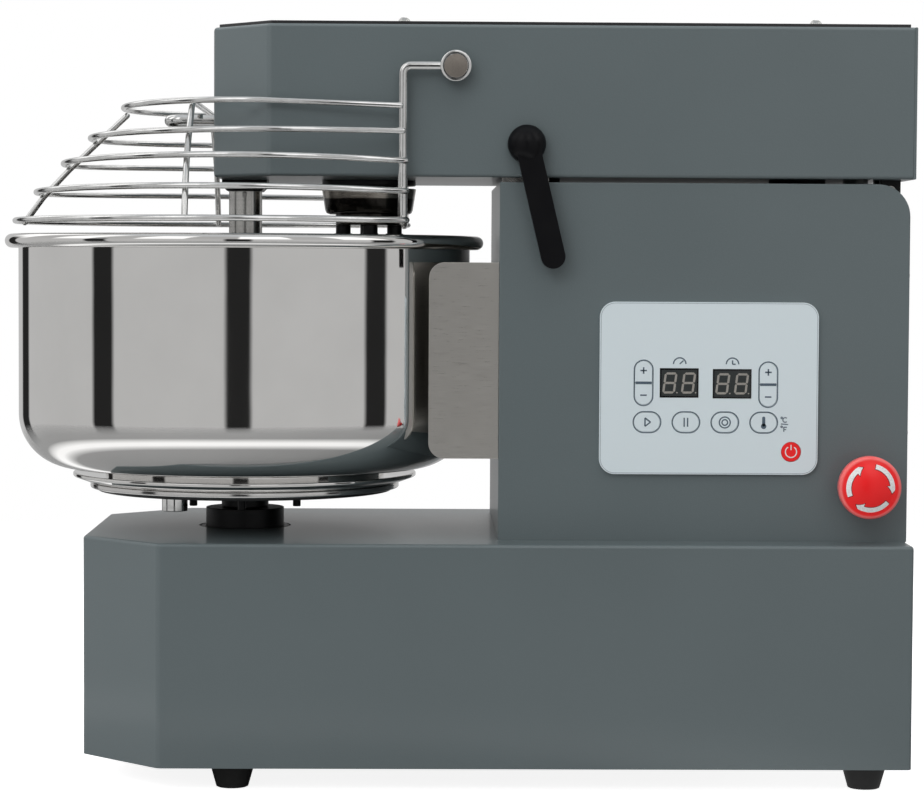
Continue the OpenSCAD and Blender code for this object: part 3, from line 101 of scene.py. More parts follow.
class MixerShape(bpy.types.PropertyGroup):
    """Sizes of the finer forms"""
    fold_radius: FloatProperty(
        name="Fold radius", description="Outer radius where the sheet of a housing is folded",
        default=2.2 * MM, min=0.2 * MM, max=5 * MM, unit="LENGTH", precision=4)
    edge_radius: FloatProperty(
        name="Edge radius", description="Rounding on the edges of small parts",
        default=0.5 * MM, min=0.05 * MM, max=1 * MM, unit="LENGTH", precision=5)
    wire_diameter: FloatProperty(
        name="Wire diameter", description="Diameter of the guard's hoops and ribs",
        default=4 * MM, min=3 * MM, max=5 * MM, unit="LENGTH", precision=4)
    frame_wire_diameter: FloatProperty(
        name="Side wire diameter", description="Diameter of the guard's two side wires",
        default=6 * MM, min=4 * MM, max=7 * MM, unit="LENGTH", precision=4)
    print_height: FloatProperty(
        name="Print height", description="Height of the printed signs above their surface",
        default=0.06 * MM, min=0.02 * MM, max=0.2 * MM, unit="LENGTH", precision=5)
    wire_sides: IntProperty(
        name="Wire sides", description="Faces round a wire", default=20, min=8, max=48)
    turned_steps: IntProperty(
        name="Turned steps", description="Steps round the bowl", default=192, min=48, max=360)


class MixerColours(bpy.types.PropertyGroup):
    """Colours of the main finishes"""
    paint: FloatVectorProperty(
        name="Paint", description="Powder coat of the housings", subtype="COLOR",
        default=(0.118, 0.147, 0.154), min=0, max=1)
    lid: FloatVectorProperty(
        name="Lid", description="Powder coat of lid and rear cover", subtype="COLOR",
        default=(0.018, 0.018, 0.02), min=0, max=1)
    steel: FloatVectorProperty(
        name="Steel", description="Polished steel of the bowl", subtype="COLOR",
        default=(0.8, 0.79, 0.775), min=0, max=1)
    panel: FloatVectorProperty(
        name="Panel", description="Plastic of panel and keys", subtype="COLOR",
        default=(0.74, 0.825, 0.86), min=0, max=1)
    signs: FloatVectorProperty(
        name="Signs", description="Ink of the key outlines and signs", subtype="COLOR",
        default=(0.09, 0.13, 0.17), min=0, max=1)
    stop: FloatVectorProperty(
        name="Stop", description="Plastic of the emergency stop", subtype="COLOR",
        default=(0.98, 0.009, 0.011), min=0, max=1)


class MixerLight(bpy.types.PropertyGroup):
    """The stage's light"""
    room: FloatProperty(
        name="Room", description="Brightness of the pale room round the stage",
        default=1.0, min=0, max=4)
    lamps: FloatProperty(
        name="Lamps", description="Power of each of the two soft lamps",
        default=13, min=0, max=100, unit="POWER")


# ---------- node trees ----------

class Value:
    """One output socket of a node, with the arithmetic that adds Math nodes to its tree."""

    def __init__(self, nodes, made, socket):
        self.nodes, self.made, self.socket = nodes, made, socket

    def out(self, name):
        return Value(self.nodes, self.made, self.made.outputs[name])

    def math(self, operation, *values):
        return self.nodes.node(
            "ShaderNodeMath", {"operation": operation}, dict(enumerate(values)))

    def __add__(self, other):
        return self.math("ADD", self, other)

    __radd__ = __add__

    def __sub__(self, other):
        return self.math("SUBTRACT", self, other)

    def __rsub__(self, other):
        return self.math("SUBTRACT", other, self)

    def __mul__(self, other):
        return self.math("MULTIPLY", self, other)

    __rmul__ = __mul__

    def __truediv__(self, other):
        return self.math("DIVIDE", self, other)

    def __pow__(self, other):
        return self.math("POWER", self, other)

    def above(self, limit):
        return self.math("GREATER_THAN", self, limit)

    def ramp(self, start, end, low=0.0, high=1.0):
        """Runs from low to high as the value goes from start to end, and stays there."""
        return self.nodes.node(
            "ShaderNodeMapRange", {"clamp": True},
            {"Value": self, "From Min": start, "From Max": end, "To Min": low, "To Max": high})


class Nodes:
    """A node tree that grows by one method."""

    def __init__(self, tree):
        self.tree = tree

    def node(self, kind, settings=None, sockets=None):
        """Adds a node, sets it up, fills or links its sockets and gives its first output."""
        made = self.tree.nodes.new(kind)
        for key, value in (settings or {}).items():
            setattr(made, key, value)
        for key, value in (sockets or {}).items():
            if isinstance(value, Value):
                self.tree.links.new(value.socket, made.inputs[key])
            else:
                made.inputs[key].default_value = value
        outputs = [socket for socket in made.outputs if socket.enabled]
        return Value(self, made, outputs[0]) if outputs else made

    def mix(self, amount, first, second):
        return self.node(
            "ShaderNodeMix", {"data_type": "RGBA"}, {0: amount, 6: first, 7: second})


class Finish(Nodes):
    """A procedural material on one Principled shader."""

    def __init__(self, name, colour, roughness, metallic=0.0, **fixed):
        self.material = bpy.data.materials.new(name)
        self.material.use_nodes = True
        super().__init__(self.material.node_tree)
        self.shader = self.tree.nodes["Principled BSDF"]
        self.feed("Base Color", (*colour, 1))
        self.feed("Roughness", roughness)
        self.feed("Metallic", metallic)
        for key, value in fixed.items():
            self.feed(key.replace("_", " ").title().replace("Ior", "IOR"), value)

    def feed(self, socket, value):
        target = self.shader.inputs[socket]
        if isinstance(value, Value):
            self.tree.links.new(value.socket, target)
        else:
            target.default_value = value

    def place(self, scale=(1, 1, 1), at=(0, 0, 0), turn=(0, 0, 0)):
        """Object coordinates, moved so that at is their origin, then turned and scaled."""
        moved = self.node(
            "ShaderNodeVectorMath", {"operation": "SUBTRACT"},
            {0: self.node("ShaderNodeTexCoord").out("Object"), 1: at})
        return self.node(
            "ShaderNodeMapping", {}, {"Vector": moved, "Rotation": turn, "Scale": scale})

    def axis(self, vector, name):
        return self.node("ShaderNodeSeparateXYZ", {}, {"Vector": vector}).out(name)

    def noise(self, vector, scale, detail=3.0, roughness=0.5):
        return self.node(
            "ShaderNodeTexNoise", {"noise_dimensions": "3D"},
            {"Vector": vector, "Scale": scale, "Detail": detail, "Roughness": roughness})

    def bump(self, height, distance, strength=1.0):
        self.feed("Normal", self.node(
            "ShaderNodeBump", {}, {"Strength": strength, "Distance": distance, "Height": height}))


def shade(colour, factor):
    """A colour made darker or lighter, with its alpha."""
    return (*[min(1.0, channel * factor) for channel in colour], 1)


def powder_coat(name, colour, roughness=0.45, peel=0.00006):
    """Baked powder paint: orange peel, a fine fleck and a slow drift of tone."""
    finish = Finish(name, colour, roughness, coat_weight=0.35, coat_roughness=0.13)
    spot = finish.place()
    drift = finish.noise(spot, 11, 2)
    fleck = finish.noise(spot, 2600, 2)
    tone = finish.mix(drift.ramp(0.35, 0.65), shade(colour, 0.985), shade(colour, 1.015))
    finish.feed("Base Color", finish.mix(fleck.ramp(0.62, 0.78, 0, 0.35), tone, shade(colour, 1.7)))
    finish.feed("Roughness", drift.ramp(0.3, 0.7, roughness - 0.01, roughness + 0.02))
    finish.bump(finish.noise(spot, 900, 1), peel)
    return finish.material


def turned_steel(name, colour, roughness, axis_x, ring=900, streak=0.35, depth=0.000006):
    """Steel polished or turned round a vertical axis, with fine rings and faint wiping marks."""
    finish = Finish(name, colour, roughness, 1.0)
    spot = finish.place(at=(axis_x, 0, 0))
    across, along, up = [finish.axis(spot, axis) for axis in "XYZ"]
    radius = (across * across + along * along) ** 0.5
    around = finish.node("ShaderNodeCombineXYZ", {}, {
        "X": across * 5, "Y": along * 5, "Z": (up + radius) * ring})
    rings = finish.noise(around, 1, 4, 0.6)
    wiped = finish.noise(finish.place((14, 14, 5)), 1, 4, 0.6)
    finish.feed("Roughness", rings.ramp(0.3, 0.75, roughness * (1 - streak), roughness * (1 + streak))
                + wiped.ramp(0.5, 0.8, 0, roughness * 0.6))
    finish.feed("Base Color", finish.mix(
        rings.ramp(0.3, 0.7), shade(colour, 0.95), shade(colour, 1.03)))
    finish.bump(rings, depth)
    return finish.material


def polished_steel(name, colour, roughness=0.03):
    """Mirror-polished sheet with the slow waves of its pressing and a few wiping marks."""
    finish = Finish(name, colour, roughness, 1.0)
    spot = finish.place()
    wiped = finish.noise(finish.place((14, 14, 5)), 1, 4, 0.6)
    finish.feed("Roughness", wiped.ramp(0.45, 0.8, roughness, roughness * 2.6))
    finish.feed("Base Color", finish.mix(
        finish.noise(spot, 25, 3).ramp(0.3, 0.7), shade(colour, 0.97), shade(colour, 1.02)))
    finish.bump(finish.noise(spot, 13, 2), 0.00012)
    return finish.material


def edged_disc(name, colour, level):
    """Turned steel disc above a level, black paint below it."""
    finish = Finish(name, colour, 0.2, 1.0)
    spot = finish.place(at=(0, 0, level))
    bare = finish.axis(spot, "Z").above(0)
    rings = finish.noise(finish.place((20, 20, 900)), 1, 3)
    finish.feed("Base Color", finish.mix(bare, (0.012, 0.012, 0.013, 1), (*colour, 1)))
    finish.feed("Metallic", bare)
    finish.feed("Roughness", bare.ramp(0, 1, 0.45, 0.1) + rings.ramp(0.4, 0.7, 0, 0.08))
    finish.bump(rings, 0.000008)
    return finish.material


def hub_with_painted_highlight(name, level):
    """Blackened turned hub with a painted highlight: its colour is lighter above a level, as a
    painted reflection on its upper band.
    """
    finish = Finish(name, (0.02, 0.02, 0.02), 0.2, 1.0)
    spot = finish.place(at=(SPIRAL_X, 0, level))
    # Above the level the colour is lighter: a painted highlight, not a change of finish.
    painted_highlight = finish.axis(spot, "Z").ramp(-0.4 * MM, 0.4 * MM)
    rings = finish.noise(finish.place((20, 20, 1300)), 1, 3)
    finish.feed("Base Color", finish.mix(painted_highlight, (0.03, 0.028, 0.025, 1), (0.36, 0.335, 0.3, 1)))
    finish.feed("Roughness", painted_highlight.ramp(0, 1, 0.13, 0.22) + rings.ramp(0.4, 0.7, 0, 0.06))
    finish.bump(rings, 0.000005)
    return finish.material


def drawn_wire(name, colour, roughness=0.1):
    """Bright plated wire with faint draw marks and a slight unevenness of the plating."""
    finish = Finish(name, colour, roughness, 1.0)
    uneven = finish.noise(finish.place(), 160, 3)
    finish.feed("Roughness", uneven.ramp(0.35, 0.7, roughness * 0.7, roughness * 1.9))
    finish.feed("Base Color", finish.mix(
        uneven.ramp(0.4, 0.75), shade(colour, 1.0), shade(colour, 0.86)))
    finish.bump(uneven, 0.00001)
    return finish.material


def brushed_sheet(name, colour, roughness=0.32, grain=(70, 70, 3200)):
    """Sheet steel brushed along its length."""
    finish = Finish(name, colour, roughness, 1.0)
    lines = finish.noise(finish.place(grain), 1, 5, 0.65)
    cloud = finish.noise(finish.place(), 18, 3)
    finish.feed("Roughness", lines.ramp(0.25, 0.75, roughness * 0.75, roughness * 1.3))
    finish.feed("Base Color", finish.mix(
        lines.ramp(0.3, 0.7), shade(colour, 0.95), shade(colour, 1.03)))
    finish.bump(lines + cloud * 0.4, 0.000006)
    return finish.material


def moulded_plastic(name, colour, roughness=0.35, grain=0.00002, scale=1800):
    """Moulded plastic with a fine spark texture and slight wear of its gloss."""
    finish = Finish(name, colour, roughness, specular_ior_level=0.15)
    spot = finish.place()
    spark = finish.noise(spot, scale, 2)
    worn = finish.noise(spot, 45, 4)
    finish.feed("Roughness", worn.ramp(0.35, 0.7, roughness * 0.85, roughness * 1.2))
    finish.feed("Base Color", finish.mix(
        worn.ramp(0.4, 0.7), shade(colour, 0.97), shade(colour, 1.05)))
    finish.bump(spark, grain)
    return finish.material


def gloss_plastic(name, colour, roughness=0.12, coat=0.4, wave=0.00003):
    """Smooth glossy plastic with a clear surface and a slight waviness."""
    finish = Finish(name, colour, roughness, coat_weight=coat, coat_roughness=0.05)
    spot = finish.place()
    finish.bump(finish.noise(spot, 60, 1), wave)
    finish.feed("Roughness", finish.noise(spot, 90, 3).ramp(0.35, 0.7, roughness, roughness * 1.04))
    return finish.material


def rimmed_plastic(name, colour, middle, radius):
    """Glossy cap whose rim, which faces the operator, is painted paler as a painted highlight of
    uneven strength.
    """
    finish = Finish(name, colour, 0.3, coat_weight=0.12, coat_roughness=0.1)
    spot = finish.place(at=middle)
    out = (finish.axis(spot, "X") ** 2 + finish.axis(spot, "Z") ** 2) ** 0.5
    rim = out.ramp(radius - 2.6 * MM, radius - 1.4 * MM)
    # Paler colour round the rim: a painted highlight, uneven in strength.
    painted_rim_highlight = rim * finish.noise(spot, 120, 3).ramp(0.2, 0.7, 0.45, 0.8)
    finish.feed("Base Color", finish.mix(painted_rim_highlight, (*colour, 1), (1, 0.24, 0.23, 1)))
    finish.bump(finish.noise(spot, 900, 2), 0.000008)
    return finish.material


def rubber(name, colour=(0.012, 0.012, 0.012)):
    """Matt rubber with a dusty bloom."""
    finish = Finish(name, colour, 0.75)
    spot = finish.place()
    dust = finish.noise(spot, 70, 5, 0.7)
    finish.feed("Base Color", finish.mix(dust.ramp(0.5, 0.8, 0, 0.5), (*colour, 1), shade(colour, 3)))
    finish.bump(finish.noise(spot, 1500, 3), 0.00004)
    return finish.material


def cast_metal(name, colour, roughness=0.4, metallic=1.0):
    """Cast or sand-blasted metal with a fine grain."""
    finish = Finish(name, colour, roughness, metallic)
    spot = finish.place()
    grain = finish.noise(spot, 800, 4, 0.6)
    finish.feed("Roughness", grain.ramp(0.3, 0.7, roughness * 0.8, roughness * 1.25))
    finish.feed("Base Color", finish.mix(
        finish.noise(spot, 40, 3).ramp(0.3, 0.7), shade(colour, 0.9), shade(colour, 1.08)))
    finish.bump(grain, 0.00005)
    return finish.material


def circuit_board(name):
    """Green board with darker tracks and a satin solder mask."""
    finish = Finish(name, (0.02, 0.16, 0.06), 0.35)
    tracks = finish.node("ShaderNodeTexBrick", {}, {
        "Vector": finish.place((1, 1, 1), turn=(pi / 2, 0, 0)), "Scale": 90.0,
        "Color1": (0.02, 0.16, 0.06, 1), "Color2": (0.02, 0.2, 0.08, 1),
        "Mortar": (0.01, 0.07, 0.03, 1)})
    finish.feed("Base Color", tracks)
    return finish.material


def ink(name, colour, roughness=0.4):
    """Printed ink, a little uneven in its cover."""
    finish = Finish(name, colour, roughness)
    uneven = finish.noise(finish.place(), 900, 2)
    finish.feed("Base Color", finish.mix(
        uneven.ramp(0.3, 0.7), shade(colour, 0.9), shade(colour, 1.12)))
    return finish.material


FINISHES = {}


def make_finishes(colours):
    """Every finish of the machine, by its plain name."""
    disc_edge = low("bowl_turntable", 2) + 2.05 * MM
    # Level above which the hub's colour is lighter: a painted reflection on its upper band.
    hub_highlight_level = low("head_shell", 2) - 12 * MM
    FINISHES.update(
        grey_paint=powder_coat("grey_powder_coat", tuple(colours.paint)),
        black_paint=powder_coat("black_powder_coat", tuple(colours.lid), 0.35, 0.00004),
        motor_paint=powder_coat("motor_paint", (0.09, 0.1, 0.11), 0.5),
        bowl_steel=polished_steel("polished_bowl_steel", tuple(colours.steel)),
        turntable_finish=edged_disc("turntable_disc", (0.7, 0.69, 0.68), disc_edge),
        spiral_steel=drawn_wire("bent_spiral_steel", (0.6, 0.59, 0.57), 0.2),
        chrome_wire=drawn_wire("chromed_wire", (0.8, 0.8, 0.79)),
        stainless=brushed_sheet("brushed_stainless", (0.61, 0.59, 0.555)),
        bar_steel=turned_steel("turned_bar_steel", (0.56, 0.55, 0.53), 0.2, BOWL_X),
        machined_steel=turned_steel("turned_hub_steel", (0.42, 0.415, 0.4), 0.24, SPIRAL_X, 1400),
        bright_screws=drawn_wire("zinc_plated_steel", (0.62, 0.62, 0.6), 0.2),
        cast_aluminium=cast_metal("cast_aluminium", (0.5, 0.5, 0.51)),
        black_casting=cast_metal("blackened_casting", (0.012, 0.012, 0.013), 0.4, 0.6),
        black_plastic=moulded_plastic("black_plastic", (0.0035, 0.0035, 0.0045), 0.34),
        hub_finish=hub_with_painted_highlight("blackened_hub", hub_highlight_level),
        boss_face=cast_metal("dull_boss_face", (0.3, 0.27, 0.24), 0.5),
        white_panel=gloss_plastic("white_panel_film", tuple(colours.panel), 0.42, 0.06, 0.000002),
        key_white=gloss_plastic("white_key_film", tuple(colours.panel), 0.4, 0.06, 0.000002),
        display_black=gloss_plastic("smoked_display", (0.004, 0.004, 0.005), 0.06),
        circuit_board=circuit_board("controller_board"),
        red_plastic=gloss_plastic("signal_red", tuple(colours.stop), 0.3, 0.12, 0.000008),
        # The stop's paler rim is a painted highlight.
        stop_red=rimmed_plastic("stop_red", tuple(colours.stop), (STOP_X, 0, STOP_Z), STOP_R),
        # Darker red round the arrows: painted shade of a recess that the cap's form doesn't have.
        dark_red=ink("arrow_recess", (0.26, 0.004, 0.006), 0.5),
        rubber_black=rubber("rubber"),
        sign_ink=ink("sign_ink", tuple(colours.signs)),
        # Faint line along the panel's edge: painted shade.
        faint_ink=ink("faint_sign_ink", (0.35, 0.4, 0.44)),
        pale_ink=ink("pale_sign_ink", (0.17, 0.21, 0.25)),
        white_ink=ink("white_ink", (0.86, 0.86, 0.86)),
        unlit_segment=ink("unlit_segment", (0.33, 0.31, 0.28), 0.5),
        display_field=ink("display_field", (0.026, 0.031, 0.031), 0.3),
    )


# ---------- meshes ----------

BODY_OF = {node: body for body, nodes in frame["record"]["behaviour"]["bodies"].items()
           for node in nodes}
SLOT_OF = {part["node"]: part["material_slot"] for part in frame["record"]["subparts"]}


def piece(name, mesh, finish, body, slot, *nodes):
    """Puts a mesh into the scene as one finished piece on its body."""
    made = bpy.data.objects.new(name, mesh)
    bpy.context.collection.objects.link(made)
    mesh.name = name
    mesh.materials.clear()
    mesh.materials.append(FINISHES[finish])
    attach(made, body)
    if nodes:
        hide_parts(*nodes)
    return made


def loose_object(name, mesh):
    """An object of the mesh that isn't a piece of the machine."""
    made = bpy.data.objects.new(name, mesh)
    bpy.context.collection.objects.link(made)
    return made


def baked(made):
    """The evaluated mesh of an object with modifiers; the object itself is removed."""
    graph = bpy.context.evaluated_depsgraph_get()
    graph.update()
    mesh = bpy.data.meshes.new_from_object(made.evaluated_get(graph), depsgraph=graph)
    old = made.data
    bpy.data.objects.remove(made)
    if old.users == 0 and isinstance(old, bpy.types.Mesh):
        bpy.data.meshes.remove(old)
    return mesh


def from_bmesh(name, bm):
    mesh = bpy.data.meshes.new(name)
    bm.to_mesh(mesh)
    bm.free()
    return mesh


def mesh_from(name, points, faces):
    bm = bmesh.new()
    made = [bm.verts.new(point) for point in points]
    for face in faces:
        bm.faces.new([made[i] for i in face])
    return from_bmesh(name, bm)


def shaded(mesh, angle=32):
    """Smooth shading with sharp edges past an angle."""
    for polygon in mesh.polygons:
        polygon.use_smooth = True
    mesh.set_sharp_from_angle(angle=radians(angle))
    return mesh


def weighted(mesh):
    """Normals that keep the large flat faces flat beside their rounded edges."""
    made = loose_object("weighted", shaded(mesh))
    modifier = made.modifiers.new("weighted", "WEIGHTED_NORMAL")
    modifier.keep_sharp = True
    return baked(made)


def solid_copy(node):
    """A merged copy of a CAD node's triangles, with its flat faces joined up."""
    source = frame["nodes"][node].data
    bm = bmesh.new()
    points = [bm.verts.new(vertex.co) for vertex in source.vertices]
    for polygon in source.polygons:
        bm.faces.new([points[i] for i in polygon.vertices])
    bmesh.ops.remove_doubles(bm, verts=bm.verts, dist=2e-6)
    bmesh.ops.dissolve_degenerate(bm, edges=bm.edges, dist=1e-6)
    bmesh.ops.dissolve_limit(bm, angle_limit=radians(0.4), verts=bm.verts, edges=bm.edges)
    bm.normal_update()
    return bm


def face_widths(bm):
    """Mean width of the smooth surface that each face belongs to."""
    widths = {}
    for start in bm.faces:
        if start in widths:
            continue
        group, stack, area, border = [], [start], 0.0, 0.0
        seen = {start}
        while stack:
            face = stack.pop()
            group.append(face)
            area += face.calc_area()
            for edge in face.edges:
                if len(edge.link_faces) == 2 and edge.calc_face_angle() < radians(20):
                    other = edge.link_faces[0] if edge.link_faces[1] is face else edge.link_faces[1]
                    if other not in seen:
                        seen.add(other)
                        stack.append(other)
                else:
                    border += edge.calc_length()
        width = 2 * area / border if border else 1.0
        for face in group:
            widths[face] = width
    return widths


def soften(bm, radius, narrowest, segments):
    """Rounds the outer edges between surfaces that are wide enough."""
    widths = face_widths(bm)
    edges = [
        edge for edge in bm.edges
        if len(edge.link_faces) == 2 and edge.calc_face_angle_signed() > radians(28)
        and min(widths[face] for face in edge.link_faces) > narrowest
    ]
    bmesh.ops.bevel(
        bm, geom=edges, offset=radius, offset_type="OFFSET", segments=segments, profile=0.5,
        affect="EDGES", clamp_overlap=True, miter_outer="ARC")
    return bm


def dressed(node, finish, radius, narrowest, segments=3):
    """A CAD node's own form with softened edges and its finish."""
    bm = soften(solid_copy(node), radius, narrowest, segments)
    mesh = weighted(from_bmesh(node, bm))
    return piece(node + "_skin", mesh, finish, BODY_OF[node], SLOT_OF[node], node)


def ease(t):
    """Runs from 0 to 1 as t does, slowly at both ends."""
    return t * t * (3 - 2 * t)


def clamp(t):
    return min(1.0, max(0.0, t))


def dome_radius(radius, height):
    """Radius of the ball whose cap has this radius and height."""
    return (radius * radius + height * height) / (2 * height)


def lathe(profile, steps, centre=(0, 0), closed=False):
    """A form turned round a vertical axis; the profile runs as [radius, height] points."""
    points, faces, rows = [], [], []
    for radius, level in profile:
        if radius == 0:
            rows.append([len(points)] * steps)
            points.append((centre[0], centre[1], level))
        else:
            rows.append(list(range(len(points), len(points) + steps)))
            points += [(centre[0] + radius * cos(2 * pi * k / steps),
                        centre[1] + radius * sin(2 * pi * k / steps), level)
                       for k in range(steps)]
    if closed:
        rows.append(rows[0])
    for lower, upper in zip(rows, rows[1:]):
        for k in range(steps):
            ring = [lower[k], lower[(k + 1) % steps], upper[(k + 1) % steps], upper[k]]
            corners = [i for n, i in enumerate(ring) if i not in ring[:n]]
            if len(corners) > 2:
                faces.append(corners)
    return mesh_from("turned", points, faces)


def arc(centre, radius, start, end, steps):
    """Points [x, y] on an arc, with the angles in degrees."""
    return [(centre[0] + radius * cos(radians(start + (end - start) * i / steps)),
             centre[1] + radius * sin(radians(start + (end - start) * i / steps)))
            for i in range(steps + 1)]


def rounded_side(radius, z0, z1, edge, steps):
    """Profile of a disc's side, with both edges rounded."""
    return (arc((radius - edge, z0 + edge), edge, -90, 0, steps)
            + arc((radius - edge, z1 - edge), edge, 0, 90, steps))


def joined(meshes):
    """One mesh of several, which are used up."""
    bm = bmesh.new()
    for mesh in meshes:
        bm.from_mesh(mesh)
        bpy.data.meshes.remove(mesh)
    return from_bmesh("joined", bm)


def moved(mesh, matrix):
    mesh.transform(matrix)
    return mesh


# Local x to the rear, local y up and local z out towards the operator
FACING = Matrix(((1, 0, 0, 0), (0, 0, -1, 0), (0, 1, 0, 0), (0, 0, 0, 1)))


def facing(x, y, z):
    return Matrix.Translation((x, y, z)) @ FACING


# ---------- Geometry Nodes trees ----------

class Maker(Nodes):
    """A Geometry Nodes tree with named inputs, run on a mesh of points and edges."""

    def __init__(self, name, inputs):
        super().__init__(bpy.data.node_groups.new(name, "GeometryNodeTree"))
        sides = self.tree.interface
        sides.new_socket("Geometry", in_out="INPUT", socket_type="NodeSocketGeometry")
        for key, (kind, default) in inputs.items():
            socket = sides.new_socket(key, in_out="INPUT", socket_type=kind)
            if default is not None:
                socket.default_value = default
        sides.new_socket("Geometry", in_out="OUTPUT", socket_type="NodeSocketGeometry")
        self.input = self.node("NodeGroupInput")

    def end(self, geometry):
        """Realizes what is instanced, sets the finish and closes the tree."""
        real = self.node("GeometryNodeRealizeInstances", {}, {"Geometry": geometry})
        coated = self.node("GeometryNodeSetMaterial", {}, {
            "Geometry": real, "Material": self.input.out("Finish")})
        self.node("NodeGroupOutput", {}, {"Geometry": coated})

    def run(self, mesh, **values):
        """The mesh that the tree makes of the given one."""
        made = loose_object("source", mesh)
        modifier = made.modifiers.new("maker", "NODES")
        modifier.node_group = self.tree
        for socket in self.tree.interface.items_tree:
            key = socket.name.lower().replace(" ", "_")
            if socket.in_out == "INPUT" and key in values:
                modifier[socket.identifier] = values[key]
        return baked(made)


def path_mesh(paths, thickness=None):
    """Open or closed runs of points as edges; thickness gives each point's share of the radius."""
    bm = bmesh.new()
    share = bm.verts.layers.float.new("share")
    for points, closed in paths:
        made = [bm.verts.new(point) for point in points]
        for i, vertex in enumerate(made):
            vertex[share] = thickness(i, len(made)) if thickness else 1.0
        for first, second in zip(made, made[1:]):
            bm.edges.new((first, second))
        if closed:
            bm.edges.new((made[-1], made[0]))
    return from_bmesh("path", bm)


def make_wire_maker():
    """Sweeps a round section along runs of points."""
    maker = Maker("bent_round_stock", {
        "Diameter": ("NodeSocketFloat", 4 * MM), "Sides": ("NodeSocketInt", 20),
        "Finish": ("NodeSocketMaterial", None)})
    share = maker.node("GeometryNodeInputNamedAttribute", {"data_type": "FLOAT"}, {"Name": "share"})
    run = maker.node("GeometryNodeMeshToCurve", {}, {"Mesh": maker.input.out("Geometry")})
    sized = maker.node("GeometryNodeSetCurveRadius", {}, {"Curve": run, "Radius": share})
    section = maker.node("GeometryNodeCurvePrimitiveCircle", {"mode": "RADIUS"}, {
        "Resolution": maker.input.out("Sides"), "Radius": maker.input.out("Diameter") * 0.5})
    swept = maker.node("GeometryNodeCurveToMesh", {}, {
        "Curve": sized, "Profile Curve": section, "Fill Caps": True, "Scale": share})
    maker.end(maker.node("GeometryNodeSetShadeSmooth", {}, {"Geometry": swept}))
    return maker


def make_line_maker():
    """Sweeps a flat printed line along runs of points in the x-y plane."""
    maker = Maker("printed_line", {
        "Width": ("NodeSocketFloat", 0.4 * MM), "Height": ("NodeSocketFloat", 0.06 * MM),
        "Finish": ("NodeSocketMaterial", None)})
    run = maker.node("GeometryNodeMeshToCurve", {}, {"Mesh": maker.input.out("Geometry")})
    level = maker.node("GeometryNodeSetCurveNormal", {"mode": "Z_UP"}, {"Curve": run})
    section = maker.node("GeometryNodeCurvePrimitiveQuadrilateral", {"mode": "RECTANGLE"}, {
        "Width": maker.input.out("Width"), "Height": maker.input.out("Height")})
    maker.end(maker.node("GeometryNodeCurveToMesh", {}, {
        "Curve": level, "Profile Curve": section, "Fill Caps": True}))
    return maker


def make_stamp_maker(name):
    """Sets the given mesh on every point, turned so that its z follows the point's normal."""
    maker = Maker(name, {
        "Finish": ("NodeSocketMaterial", None), "Shape": ("NodeSocketObject", None)})
    shape_in = maker.node("GeometryNodeObjectInfo", {"transform_space": "ORIGINAL"}, {
        "Object": maker.input.out("Shape")}).out("Geometry")
    way = maker.node(
        "GeometryNodeInputNamedAttribute", {"data_type": "FLOAT_VECTOR"}, {"Name": "way"})
    turn = maker.node("FunctionNodeAlignRotationToVector", {"axis": "Z"}, {"Vector": way})
    maker.end(maker.node("GeometryNodeInstanceOnPoints", {}, {
        "Points": maker.input.out("Geometry"), "Instance": shape_in, "Rotation": turn}))
    return maker


def stamped(name, shape, places, finish):
    """Copies of a small form at [place, direction] pairs, as one mesh."""
    pattern = loose_object(name + "_form", shape)
    bm = bmesh.new()
    way = bm.verts.layers.float_vector.new("way")
    for place, direction in places:
        bm.verts.new(place)[way] = Vector(direction)
    maker = make_stamp_maker(name)
    mesh = maker.run(from_bmesh("places", bm), finish=FINISHES[finish], shape=pattern)
    bpy.data.objects.remove(pattern)
    return mesh


# ---------- housings ----------

class MixerHousings(bpy.types.Operator):
    """Folded housings of base, column and head, with the plate on the head's back"""
    bl_idname = "mixer.housings"
    bl_label = "Housings"

    def execute(self, context):
        fold = context.scene.mixer_shape.fold_radius
        for node in ("base_shell", "column_shell", "head_shell"):
            dressed(node, "grey_paint", fold, 4 * MM)
        dressed("head_rear_plate", "grey_paint", 0.7 * MM, 1.9 * MM, 2)
        return {"FINISHED"}


class MixerPlates(bpy.types.Operator):
    """Lid, rear cover, bottom tray and splash shield"""
    bl_idname = "mixer.plates"
    bl_label = "Plates"

    def execute(self, context):
        edge = context.scene.mixer_shape.edge_radius
        dressed("head_lid", "black_paint", edge, 1.5 * MM, 2)
        dressed("rear_cover", "black_paint", 0.3 * MM, 1.2 * MM, 2)
        dressed("base_bottom_plate", "black_paint", edge, 1.2 * MM, 2)
        dressed("splash_shield", "stainless", 0.3 * MM, 1.2 * MM, 2)
        return {"FINISHED"}


# ---------- bowl ----------

